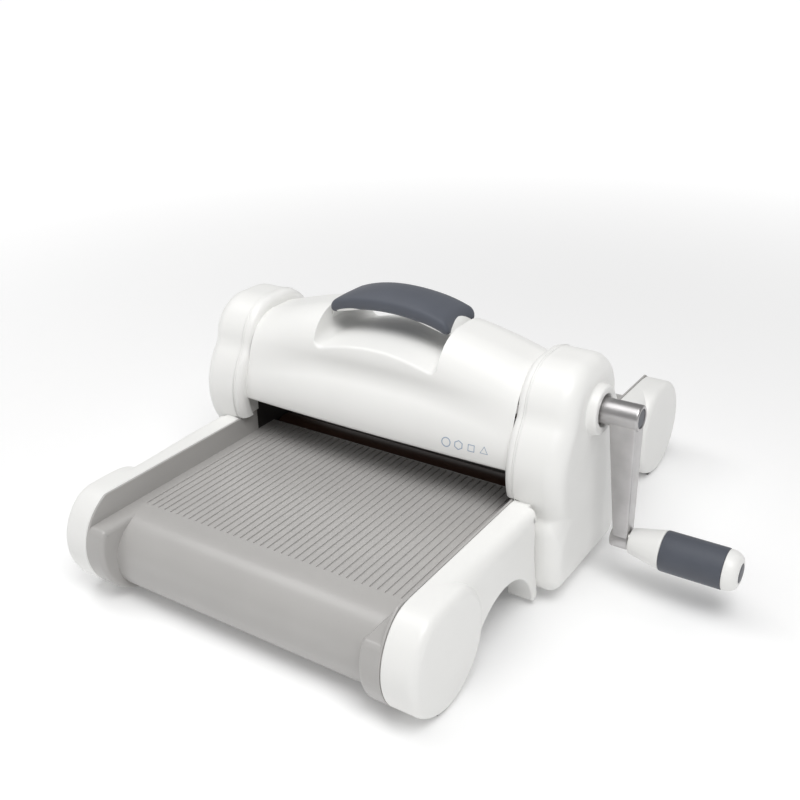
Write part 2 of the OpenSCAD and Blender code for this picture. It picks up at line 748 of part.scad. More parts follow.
module grip_axle() color(steel_c) {
    bar_x(axle_d / 2 - 1.02, arm_out - 11, arm_out, 0, grip_z);
    bar_x(axle_d / 2, arm_out, sleeve_out + 4, 0, grip_z);
    bar_x(axle_d / 2 + 1.6, sleeve_out + 4.05, sleeve_out + 6, 0, grip_z);
    bar_x(axle_d / 2 - 1, sleeve_out + 3, sleeve_out + 5, 0, grip_z);
}

module grip_washer() color(steel_c) ring(arm_out + 0.1, axle_d / 2 + 0.05, axle_d / 2 + 3, 0.6, grip_z);

// Turn an (x, radius) outline about the grip axis.
module turned(pts) translate([0, 0, grip_z]) rotate([0, 90, 0]) rotate_extrude()
    polygon([for (p = pts) [p[1], p[0]]]);

module grip_core() color(white_c) difference() {
    union() {
        turned([[arm_out + 0.9, 0], [arm_out + 0.9, 9.6], [sleeve_in - 2.5, sleeve_d / 2 - 0.6],
                [sleeve_in, sleeve_d / 2 - 0.3], [sleeve_in, core_r], [sleeve_out, core_r],
                [sleeve_out, sleeve_d / 2 - 0.3], [sleeve_out + 4, sleeve_d / 2 - 0.9],
                [sleeve_out + 7, sleeve_d / 2 - 3.4], [core_out - 0.8, sleeve_d / 2 - 6],
                [core_out, 7.2], [core_out, 0]]);
    }
    bar_x(axle_d / 2 + run_fit, arm_out, sleeve_out + 5, 0, grip_z);
    bar_x(6.6, sleeve_out + 3.9, core_out + 1, 0, grip_z);
}

module grip_sleeve() color(dark_c) ring(sleeve_in + 0.05, core_r + run_fit, sleeve_d / 2, sleeve_l - 0.1, grip_z);

module grip_plug() color(dark_c) {
    bar_x(6.5, core_out - 2.4, core_out + 0.4, 0, grip_z);
}

// ---- nodes ----

tray();  // front_tray
at_end(1) tray();  // rear_tray
at_side(-1) rail();  // front_left_rail
rail();  // front_right_rail
at_side(-1) at_end(1) rail();  // rear_left_rail
at_end(1) rail();  // rear_right_rail
at_side(-1) foot();  // front_left_foot
foot();  // front_right_foot
at_side(-1) at_end(1) foot();  // rear_left_foot
at_end(1) foot();  // rear_right_foot
left_tower();  // left_tower_shell
right_tower();  // right_tower_shell
at_side(-1) trim();  // left_tower_trim
trim();  // right_tower_trim
top_cover();
carry_grip();
at_side(-1) guard();  // left_guard
guard();  // right_guard
at_side(-1) side_plate();  // left_side_plate
right_side_plate();
gearbox_plate();
gearbox_spacers();
tie_rods(rod_high);  // upper_tie_rods
tie_rods(rod_low);  // lower_tie_rods
tie_rod_nuts();
base_pan();
tray_brackets();
tray_screws();
frame_screws();
tower_screws();
cover_screws();
gearbox_screws();
at_side(-1) bushing(plate_x, journal_d, high_z, plate_t);  // upper_left_bushing
bushing(plate_x, journal_d, high_z, plate_t);  // upper_right_bushing
at_side(-1) bushing(plate_x, journal_d, low_z, plate_t);  // lower_left_bushing
bushing(plate_x, journal_d, low_z, plate_t);  // lower_right_bushing
bushing(plate_x, shaft_d, crank_z, plate_t);  // crank_inner_bushing
bushing(box_x, shaft_d, crank_z, box_plate_t);  // crank_outer_bushing
roller(high_z);  // upper_roller
upper_gear();
key(high_z);  // upper_gear_key
circlips(high_z);  // upper_circlips
roller(low_z);  // lower_roller
lower_gear();
key(low_z);  // lower_gear_key
circlips(low_z);  // lower_circlips
crank_shaft();
crank_pinion();
pinion_pin();
crank_arm();
crank_pin();
crank_bolt();
hub_cap();
grip_axle();
grip_washer();
grip_core();
grip_sleeve();
grip_plug();
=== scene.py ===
"""Looks of the hand-cranked die cutting press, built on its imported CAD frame.

The shapes are drawn in millimetres in the CAD's own frame (+X along the rollers towards
the crank, +Y to the rear, +Z up) and turned into metres when a piece is finished.
"""

import json
import logging
import math
from dataclasses import dataclass, field
from enum import Enum
from typing import Callable, Dict, List, Sequence, Tuple, Union

import bmesh
import bpy
import numpy as np
from mathutils import Matrix, Vector

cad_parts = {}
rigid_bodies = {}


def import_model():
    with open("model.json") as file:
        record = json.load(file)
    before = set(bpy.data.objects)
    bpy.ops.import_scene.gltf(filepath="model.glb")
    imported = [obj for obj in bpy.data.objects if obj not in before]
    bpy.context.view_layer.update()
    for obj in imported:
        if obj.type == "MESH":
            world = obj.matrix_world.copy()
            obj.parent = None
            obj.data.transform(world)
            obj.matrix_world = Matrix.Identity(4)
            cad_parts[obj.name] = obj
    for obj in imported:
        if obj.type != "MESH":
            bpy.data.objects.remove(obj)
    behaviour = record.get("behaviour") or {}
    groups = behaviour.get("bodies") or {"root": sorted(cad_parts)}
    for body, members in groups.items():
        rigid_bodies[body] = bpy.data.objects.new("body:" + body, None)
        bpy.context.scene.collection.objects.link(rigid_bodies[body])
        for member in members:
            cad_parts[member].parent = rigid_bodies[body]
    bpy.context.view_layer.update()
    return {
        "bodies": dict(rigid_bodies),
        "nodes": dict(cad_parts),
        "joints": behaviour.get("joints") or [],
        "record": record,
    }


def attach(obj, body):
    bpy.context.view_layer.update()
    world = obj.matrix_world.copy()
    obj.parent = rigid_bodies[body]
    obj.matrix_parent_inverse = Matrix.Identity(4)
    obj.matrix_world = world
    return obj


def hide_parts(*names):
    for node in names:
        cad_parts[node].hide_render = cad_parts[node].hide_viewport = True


LOG = logging.getLogger("press")
MM = 0.001

Point = Tuple[float, float, float]
Flat = Tuple[float, float]
Colour = Tuple[float, float, float]
Distance = Callable[[np.ndarray, np.ndarray], np.ndarray]


# ---------------------------------------------------------------- sizes


@dataclass(frozen=True)
class Sizes:
    """Main sizes of the machine in millimetres, as in its CAD source."""

    wall_x: float = 117.0
    wall_t: float = 1.6
    wall_top: float = 76.5
    wall_in: float = 32.0
    bed_z: float = 59.5
    bed_in: float = 11.0
    bed_reach: float = 169.0
    bed_wall: float = 3.0
    lip_r: float = 28.0
    lip_z: float = 31.5
    collar_r: float = 40.0
    groove_pitch: float = 5.7
    groove_w: float = 1.5
    groove_d: float = 0.9
    rail_x: float = 118.9
    rail_out: float = 138.0
    disc_out: float = 141.7
    disc_r: float = 40.5
    disc_z: float = 41.0
    rail_in: float = 56.0
    arch_y: float = 97.0
    arch_r: float = 42.5
    tower_x: float = 112.0
    seam_x: float = 118.2
    tower_end: float = 152.0
    plate_x: float = 122.0
    cut_z: float = 77.3
    reveal: float = 31.5
    cover_half: float = 111.7
    crank_z: float = 130.0
    hub_r: float = 9.0
    hub_in: float = 147.5
    hub_out: float = 183.0
    arm_out: float = 182.0
    grip_z: float = 38.5
    sleeve_in: float = 206.0
    sleeve_out: float = 247.5
    core_out: float = 257.0
    sleeve_r: float = 14.0


S = Sizes()


class Side(Enum):
    """The plain side and the crank side of the machine."""

    LEFT = -1
    RIGHT = 1


class End(Enum):
    """The feed side and the far side of the machine."""

    FRONT = -1
    REAR = 1


# ---------------------------------------------------------------- finishes


@dataclass(frozen=True)
class Finish:
    """A procedural surface finish.

    Attributes:
        name: Name of the material.
        colour: Base colour, linear.
        rough: Middle roughness.
        metal: Metallic share.
        mottle: Share by which the colour wanders.
        mottle_scale: Scale of that wander, per metre.
        grain: Height of the fine grain in metres.
        grain_scale: Scale of the fine grain, per metre.
        coat: Weight of a clear gloss on top.
        brushed: Stretch of the grain along X, for drawn or turned metal.
        sheen: Weight of a soft sheen, for rubber.
        glow: Strength of light scattered inside, for thick white plastic.
        lit: Painted light: a glow the surface gives off, faint near its middle and stronger further out, for a
            studio sweep.
    """

    name: str
    colour: Colour
    rough: float = 0.4
    metal: float = 0.0
    mottle: float = 0.03
    mottle_scale: float = 30.0
    grain: float = 0.00002
    grain_scale: float = 1800.0
    coat: float = 0.0
    brushed: float = 1.0
    sheen: float = 0.0
    glow: float = 0.0
    lit: float = 0.0

    def build(self) -> bpy.types.Material:
        """Makes the Blender material.

        Returns:
            The material with its node tree.
        """
        mat = bpy.data.materials.new(self.name)
        mat.use_nodes = True
        mat.diffuse_color = (*self.colour, 1.0)
        nodes, links = mat.node_tree.nodes, mat.node_tree.links
        nodes.clear()
        out = nodes.new("ShaderNodeOutputMaterial")
        shader = nodes.new("ShaderNodeBsdfPrincipled")
        links.new(shader.outputs["BSDF"], out.inputs["Surface"])
        place = nodes.new("ShaderNodeTexCoord")
        stretch = nodes.new("ShaderNodeMapping")
        stretch.inputs["Scale"].default_value = (1.0 / self.brushed, 1.0, 1.0)
        links.new(place.outputs["Object"], stretch.inputs["Vector"])

        def noise(scale: float, detail: float) -> bpy.types.Node:
            """A noise texture on the stretched coordinates."""
            node = nodes.new("ShaderNodeTexNoise")
            node.inputs["Scale"].default_value = scale
            node.inputs["Detail"].default_value = detail
            links.new(stretch.outputs["Vector"], node.inputs["Vector"])
            return node

        broad, fine = noise(self.mottle_scale, 4.0), noise(self.grain_scale, 2.0)
        tint = nodes.new("ShaderNodeValToRGB")
        low = [c * (1.0 - self.mottle) for c in self.colour]
        high = [min(1.0, c * (1.0 + self.mottle)) for c in self.colour]
        tint.color_ramp.elements[0].position = 0.3
        tint.color_ramp.elements[1].position = 0.7
        tint.color_ramp.elements[0].color = (*low, 1.0)
        tint.color_ramp.elements[1].color = (*high, 1.0)
        links.new(broad.outputs["Fac"], tint.inputs["Fac"])
        links.new(tint.outputs["Color"], shader.inputs["Base Color"])
        spread = nodes.new("ShaderNodeMapRange")
        spread.inputs["To Min"].default_value = max(0.02, self.rough - 0.06)
        spread.inputs["To Max"].default_value = min(1.0, self.rough + 0.06)
        links.new(fine.outputs["Fac"], spread.inputs["Value"])
        links.new(spread.outputs["Result"], shader.inputs["Roughness"])
        bump = nodes.new("ShaderNodeBump")
        bump.inputs["Strength"].default_value = 1.0
        bump.inputs["Distance"].default_value = self.grain
        links.new(fine.outputs["Fac"], bump.inputs["Height"])
        links.new(bump.outputs["Normal"], shader.inputs["Normal"])
        shader.inputs["Metallic"].default_value = self.metal
        shader.inputs["Coat Weight"].default_value = self.coat
        shader.inputs["Coat Roughness"].default_value = 0.12
        shader.inputs["Sheen Weight"].default_value = self.sheen
        if self.lit:
            # Painted light: the surface glows, faintly near its middle and more strongly further out, standing
            # in for an evenly lit studio floor.
            away = nodes.new("ShaderNodeVectorMath")
            away.operation = "LENGTH"
            links.new(place.outputs["Object"], away.inputs[0])
            rise = nodes.new("ShaderNodeMapRange")
            rise.interpolation_type = "SMOOTHSTEP"
            limits = {"From Min": 0.3, "From Max": 1.8, "To Min": self.lit, "To Max": self.lit + 0.6}
            for socket, value in limits.items():
                rise.inputs[socket].default_value = value
            links.new(away.outputs["Value"], rise.inputs["Value"])
            links.new(rise.outputs["Result"], shader.inputs["Emission Strength"])
            shader.inputs["Emission Color"].default_value = (1.0, 1.0, 1.0, 1.0)
        if self.glow:
            shader.inputs["Subsurface Weight"].default_value = self.glow
            shader.inputs["Subsurface Radius"].default_value = (0.004, 0.004, 0.004)
            shader.inputs["Subsurface Scale"].default_value = 1.0
        return mat


WHITE = Finish("white_plastic", (0.84, 0.838, 0.82), rough=0.36, mottle=0.008, grain=0.000012)
GREY = Finish("grey_plastic", (0.43, 0.42, 0.408), rough=0.3, mottle=0.02, grain=0.00003)
GRIP = Finish("soft_grip", (0.072, 0.08, 0.1), rough=0.62, mottle=0.06, grain=0.00004, sheen=0.15)
BLACK = Finish("black_plastic", (0.018, 0.015, 0.014), rough=0.5, mottle=0.1)
DARK = Finish("dark_plastic", (0.085, 0.09, 0.105), rough=0.45, mottle=0.05)
STEEL = Finish("plated_steel", (0.52, 0.52, 0.53), rough=0.34, metal=1.0, mottle=0.05, brushed=12.0)
ZINC = Finish("zinc_hardware", (0.6, 0.6, 0.58), rough=0.3, metal=1.0, mottle=0.07)
CAST = Finish(
    "cast_alloy",
    (0.5, 0.49, 0.49),
    rough=0.36,
    metal=1.0,
    mottle=0.07,
    mottle_scale=90.0,
    grain=0.00006,
)
NYLON = Finish("nylon", (0.7, 0.68, 0.6), rough=0.5, mottle=0.04, glow=0.1)
ROLLER = Finish("roller_coat", (0.09, 0.05, 0.036), rough=0.4, mottle=0.08, brushed=20.0)
RUBBER = Finish("foot_rubber", (0.03, 0.03, 0.032), rough=0.75, mottle=0.1, sheen=0.1)
PRINT = Finish("print_ink", (0.34, 0.41, 0.52), rough=0.5, mottle=0.04)
# The floor carries painted light: through lit it glows, more strongly away from the machine.
FLOOR = Finish(
    "floor_paper",
    (0.9, 0.9, 0.9),
    rough=0.9,
    mottle=0.003,
    mottle_scale=2.0,
    grain=0.000001,
    lit=0.12,
)


class Paint:
    """Builds each finish once and hands out its material."""

    def __init__(self) -> None:
        """Starts with no material made."""
        self._made: Dict[str, bpy.types.Material] = {}

    def __call__(self, finish: Finish) -> bpy.types.Material:
        """Returns the material of a finish.

        Args:
            finish: The finish wanted.
        """
        if finish.name not in self._made:
            self._made[finish.name] = finish.build()
        return self._made[finish.name]


PAINT = Paint()


# ---------------------------------------------------------------- flat outlines


def arc(cy: float, cz: float, r: float, start: float, stop: float, steps: int) -> List[Flat]:
    """Points on a circle from one angle to another, in degrees, both ends included."""
    angles = np.radians(np.linspace(start, stop, steps + 1))
    return [(cy + r * math.cos(a), cz + r * math.sin(a)) for a in angles]


def ease(t: float) -> float:
    """Smooth step from 0 to 1."""
    t = min(1.0, max(0.0, t))
    return t * t * (3.0 - 2.0 * t)


def rounded(corners: Sequence[Tuple[float, float, float]], steps: int = 8) -> List[Flat]:
    """A closed outline through corners, each given as (a, b, radius).

    Args:
        corners: Corner points in order, with the radius to round each by.
        steps: Segments on each rounded corner.

    Returns:
        The outline's points in the same order.
    """
    out: List[Flat] = []
    count = len(corners)
    for i, (a, b, r) in enumerate(corners):
        here = np.array((a, b))
        before = np.array(corners[i - 1][:2]) - here
        after = np.array(corners[(i + 1) % count][:2]) - here
        if r <= 0:
            out.append((a, b))
            continue
        u, v = before / np.linalg.norm(before), after / np.linalg.norm(after)
        half = math.acos(max(-1.0, min(1.0, float(u @ v)))) / 2
        reach = r / math.tan(half)
        centre = here + (u + v) / np.linalg.norm(u + v) * (r / math.sin(half))
        p, q = here + u * reach - centre, here + v * reach - centre
        a0, a1 = math.atan2(p[1], p[0]), math.atan2(q[1], q[0])
        turn = (a1 - a0 + math.pi) % (2 * math.pi) - math.pi
        for k in range(steps + 1):
            t = a0 + turn * k / steps
            out.append((centre[0] + r * math.cos(t), centre[1] + r * math.sin(t)))
    return out


def resample(points: Sequence[Flat], count: int, closed: bool = False) -> List[Flat]:
    """Points spread evenly along a line."""
    pts = np.array(list(points) + ([points[0]] if closed else []))
    run = np.concatenate(([0.0], np.cumsum(np.linalg.norm(np.diff(pts, axis=0), axis=1))))
    want = np.linspace(0, run[-1], count + 1)[:-1] if closed else np.linspace(0, run[-1], count)
    return list(zip(np.interp(want, run, pts[:, 0]), np.interp(want, run, pts[:, 1])))


def shrink(points: Sequence[Flat], by: Sequence[float]) -> List[Flat]:
    """Moves each point of a closed outline inwards by its own distance."""
    pts = np.array(points)
    ahead, behind = np.roll(pts, -1, axis=0) - pts, pts - np.roll(pts, 1, axis=0)
    ahead /= np.linalg.norm(ahead, axis=1)[:, None]
    behind /= np.linalg.norm(behind, axis=1)[:, None]
    along = ahead + behind
    along /= np.linalg.norm(along, axis=1)[:, None]
    area = 0.5 * np.sum(pts[:, 0] * np.roll(pts[:, 1], -1) - np.roll(pts[:, 0], -1) * pts[:, 1])
    inward = np.stack((-along[:, 1], along[:, 0]), axis=1) * (1 if area > 0 else -1)
    return [tuple(p) for p in pts + inward * np.array(by)[:, None]]


def evened(points: Sequence[Sequence[float]], rounds: int) -> List[tuple]:
    """Evens a closed line out, which rounds its corners.

    Args:
        points: The line's points.
        rounds: How often each point moves halfway to its neighbours' middle.

    Returns:
        As many points as before.
    """
    pts = np.array(points)
    for _ in range(rounds):
        pts = pts * 0.5 + (np.roll(pts, 1, axis=0) + np.roll(pts, -1, axis=0)) * 0.25
    return [tuple(p) for p in pts]


class Field:
    """A soft-edged outline in the (y, z) plane: round lobes that run into one another."""

    def __init__(self, parts: Sequence[Distance], soft: float) -> None:
        """Takes the lobes as signed distances, and how softly they meet."""
        self.parts, self.soft = parts, soft

    def value(self, y: np.ndarray, z: np.ndarray) -> np.ndarray:
        """Signed distance, below zero inside."""
        total = self.parts[0](y, z)
        for part in self.parts[1:]:
            other = part(y, z)
            h = np.clip(self.soft - np.abs(total - other), 0, None) / self.soft
            total = np.minimum(total, other) - h * h * self.soft / 4
        return total

    def trace(self, centre: Flat, angles: np.ndarray, inset: Union[float, np.ndarray]) -> List[Flat]:
        """Where rays from a centre leave the outline drawn in by a distance.

        Args:
            centre: Start of the rays.
            angles: Their directions in radians.
            inset: How far the outline is drawn in, for all rays or for each.

        Returns:
            One point on each ray.
        """
        low, high = np.zeros_like(angles), np.full_like(angles, 130.0)
        cos, sin = np.cos(angles), np.sin(angles)
        for _ in range(34):
            mid = (low + high) / 2
            inside = self.value(centre[0] + cos * mid, centre[1] + sin * mid) < -inset
            low, high = np.where(inside, mid, low), np.where(inside, high, mid)
        return list(zip(centre[0] + cos * low, centre[1] + sin * low))


def round_part(cy: float, cz: float, r: float) -> Distance:
    """A disc as a signed distance."""
    return lambda y, z: np.hypot(y - cy, z - cz) - r


def pill_part(half: float, cz: float, r: float) -> Distance:
    """A level bar with round ends as a signed distance."""
    return lambda y, z: np.hypot(np.clip(np.abs(y) - half, 0, None), z - cz) - r


def block_part(half: float, z0: float, z1: float, r: float) -> Distance:
    """A rounded block as a signed distance."""

    def distance(y: np.ndarray, z: np.ndarray) -> np.ndarray:
        """Signed distance from the block's rounded edge."""
        dy = np.abs(y) - (half - r)
        dz = np.abs(z - (z0 + z1) / 2) - ((z1 - z0) / 2 - r)
        outer = np.hypot(np.clip(dy, 0, None), np.clip(dz, 0, None))
        return outer + np.minimum(np.maximum(dy, dz), 0) - r

    return distance


# ---------------------------------------------------------------- sculpting


class Sculpt:
    """A bmesh under construction, in millimetres."""

    def __init__(self) -> None:
        """Starts an empty mesh."""
        self.bm = bmesh.new()
        self.flats: List[bmesh.types.BMFace] = []

    def skin(
        self,
        rings: Sequence[Sequence[Point]],
        closed: bool = True,
        caps: Tuple[bool, bool] = (True, True),
    ) -> None:
        """Lays a quad skin through rings of equally many points.

        Args:
            rings: The rings in order.
            closed: Whether each ring runs round to its first point.
            caps: Whether the first and the last ring are filled.
        """
        across = len(rings[0]) - (0 if closed else 1)
        last = len(rings) - 1
        made = bmesh.ops.create_grid(self.bm, x_segments=across, y_segments=last, size=1.0)
        verts = made["verts"]
        ends: Dict[int, List[bmesh.types.BMVert]] = {0: [], last: []}
        for vert in verts:
            i = round((vert.co.x + 1) / 2 * across)
            j = round((vert.co.y + 1) / 2 * last)
            vert.co = rings[j][i % len(rings[j])]
            if j in ends:
                ends[j].append(vert)
        if closed:
            bmesh.ops.remove_doubles(self.bm, verts=verts, dist=1e-5)
            for row, wanted in zip(ends.values(), caps):
                if wanted:
                    near = {v for v in row if v.is_valid}
                    edges = [(v, e) for v in near for e in v.link_edges if e.is_boundary]
                    rim = [e for v, e in edges if e.other_vert(v) in near]
                    self.fill(list(dict.fromkeys(rim)))

    def fill(self, edges: Sequence[bmesh.types.BMEdge]) -> None:
        """Closes one or more rims that share an end face, and keeps that face flat.

        Args:
            edges: The rims' edges.
        """
        made = bmesh.ops.triangle_fill(self.bm, edges=edges, use_beauty=True, normal=(1, 0, 0))
        self.flats += [g for g in made["geom"] if isinstance(g, bmesh.types.BMFace)]

    def lathe(self, profile: Sequence[Flat], centre: Flat, segments: int = 72) -> None:
        """Turns a profile of (x, radius) points about a line along X.

        Args:
            profile: The profile's points.
            centre: Where the line meets the (y, z) plane.
            segments: Steps in the full turn.
        """
        bm, old = self.bm, set(self.bm.verts)
        first = (profile[0][0], centre[0], centre[1] + profile[0][1])
        start = bmesh.ops.create_vert(bm, co=first)["vert"][0]
        verts, edges = [start], []
        for x, r in profile[1:]:
            grown = bmesh.ops.extrude_vert_indiv(bm, verts=[verts[-1]])
            grown["verts"][0].co = (x, centre[0], centre[1] + r)
            verts += grown["verts"]
            edges += grown["edges"]
        bmesh.ops.spin(
            bm,
            geom=verts + edges,
            cent=(0, centre[0], centre[1]),
            axis=(1, 0, 0),
            angle=math.tau,
            steps=segments,
            use_merge=True,
        )
        new = [v for v in bm.verts if v not in old]
        bmesh.ops.remove_doubles(bm, verts=new, dist=1e-4)

    def trim_away(
        self, inside: Callable[[Vector], bool], planes: Sequence[Tuple[Point, Point]]
    ) -> None:
        """Cuts the mesh along planes and drops what lies in a region.

        Args:
            inside: Tells whether a face's middle lies in the region to drop.
            planes: Each cutting plane as (point, normal).
        """
        for point, normal in planes:
            geom = list(self.bm.verts) + list(self.bm.edges) + list(self.bm.faces)
            bmesh.ops.bisect_plane(
                self.bm, geom=geom, dist=1e-4, plane_co=point, plane_no=normal
            )
        gone = [f for f in self.bm.faces if inside(f.calc_center_median())]
        bmesh.ops.delete(self.bm, geom=gone, context="FACES")

    def mirrored(self, axis: str) -> None:
        """Mirrors the whole mesh along an axis named x, y or z."""
        factor = [-1.0 if axis == a else 1.0 for a in "xyz"]
        bmesh.ops.scale(self.bm, verts=list(self.bm.verts), vec=factor)

    def add_box(self, low: Point, high: Point, soft: float) -> None:
        """Adds a box between two corners, its edges rounded.

        Args:
            low: Its corner with the lowest coordinates.
            high: Its corner with the highest ones.
            soft: Radius of its edges.
        """
        old_edges = set(self.bm.edges)
        made = bmesh.ops.create_cube(self.bm, size=1.0)["verts"]
        for vert in made:
            vert.co = [lo + (c + 0.5) * (hi - lo) for c, lo, hi in zip(vert.co, low, high)]
        bmesh.ops.bevel(
            self.bm,
            geom=[e for e in self.bm.edges if e not in old_edges],
            offset=soft,
            offset_type="OFFSET",
            segments=2,
            profile=0.5,
            affect="EDGES",
            material=-1,
        )

    def finish(
        self,
        name: str,
        body: str,
        slot: str,
        finish: Finish,
        nodes: Sequence[str] = (),
        crease: float = 40.0,
    ) -> bpy.types.Object:
        """Makes the object, in metres, and ties it to its CAD body.

        Args:
            name: Name of the piece.
            body: CAD body it rides on.
            slot: Material slot of the record; not used.
            finish: Its finish.
            nodes: CAD nodes that it stands for.
            crease: Edges sharper than this stay crisp, in degrees.

        Returns:
            The new object.
        """
        bm = self.bm
        bmesh.ops.recalc_face_normals(bm, faces=list(bm.faces))
        flats = {face for face in self.flats if face.is_valid}
        for face in bm.faces:
            face.smooth = face not in flats
        for edge in bm.edges:
            open_edge = len(edge.link_faces) != 2
            edge.smooth = open_edge or edge.calc_face_angle(0.0) < math.radians(crease)
        bmesh.ops.scale(bm, verts=list(bm.verts), vec=(MM, MM, MM))
        mesh = bpy.data.meshes.new(name)
        bm.to_mesh(mesh)
        bm.free()
        mesh.materials.append(PAINT(finish))
        obj = bpy.data.objects.new(name, mesh)
        bpy.context.scene.collection.objects.link(obj)
        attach(obj, body)
        if nodes:
            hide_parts(*nodes)
        LOG.info("%s: %d faces on %s", name, len(mesh.polygons), body)
        return obj


def at_x(points: Sequence[Flat], x: float) -> List[Point]:
    """Outline points placed at one x."""
    return [(x, a, b) for a, b in points]


def fillet_rings(
    points: Sequence[Flat],
    x: float,
    radii: Sequence[float],
    way: int,
    steps: int = 6,
    rim: float = 0.5,
) -> List[List[Point]]:
    """Rings that round an outline's end over, each point by its own radius.

    Args:
        points: The outline.
        x: Where its end face lies.
        radii: Radius at each point.
        way: 1 where the end face looks to +X, -1 where it looks to -X.
        steps: Segments of the rounding.
        rim: Width of the flat rim inside the rounding.

    Returns:
        The rings from the side towards the end face.
    """
    rings = []
    for k in range(steps + 1):
        t = math.radians(90 * k / steps)
        flat = shrink(points, [r * (1 - math.cos(t)) for r in radii])
        rings.append([(x - way * r * (1 - math.sin(t)), a, b) for (a, b), r in zip(flat, radii)])
    flat = shrink(points, [r + rim for r in radii])
    rings.append(at_x(flat, x))
    return rings


# ---------------------------------------------------------------- towers


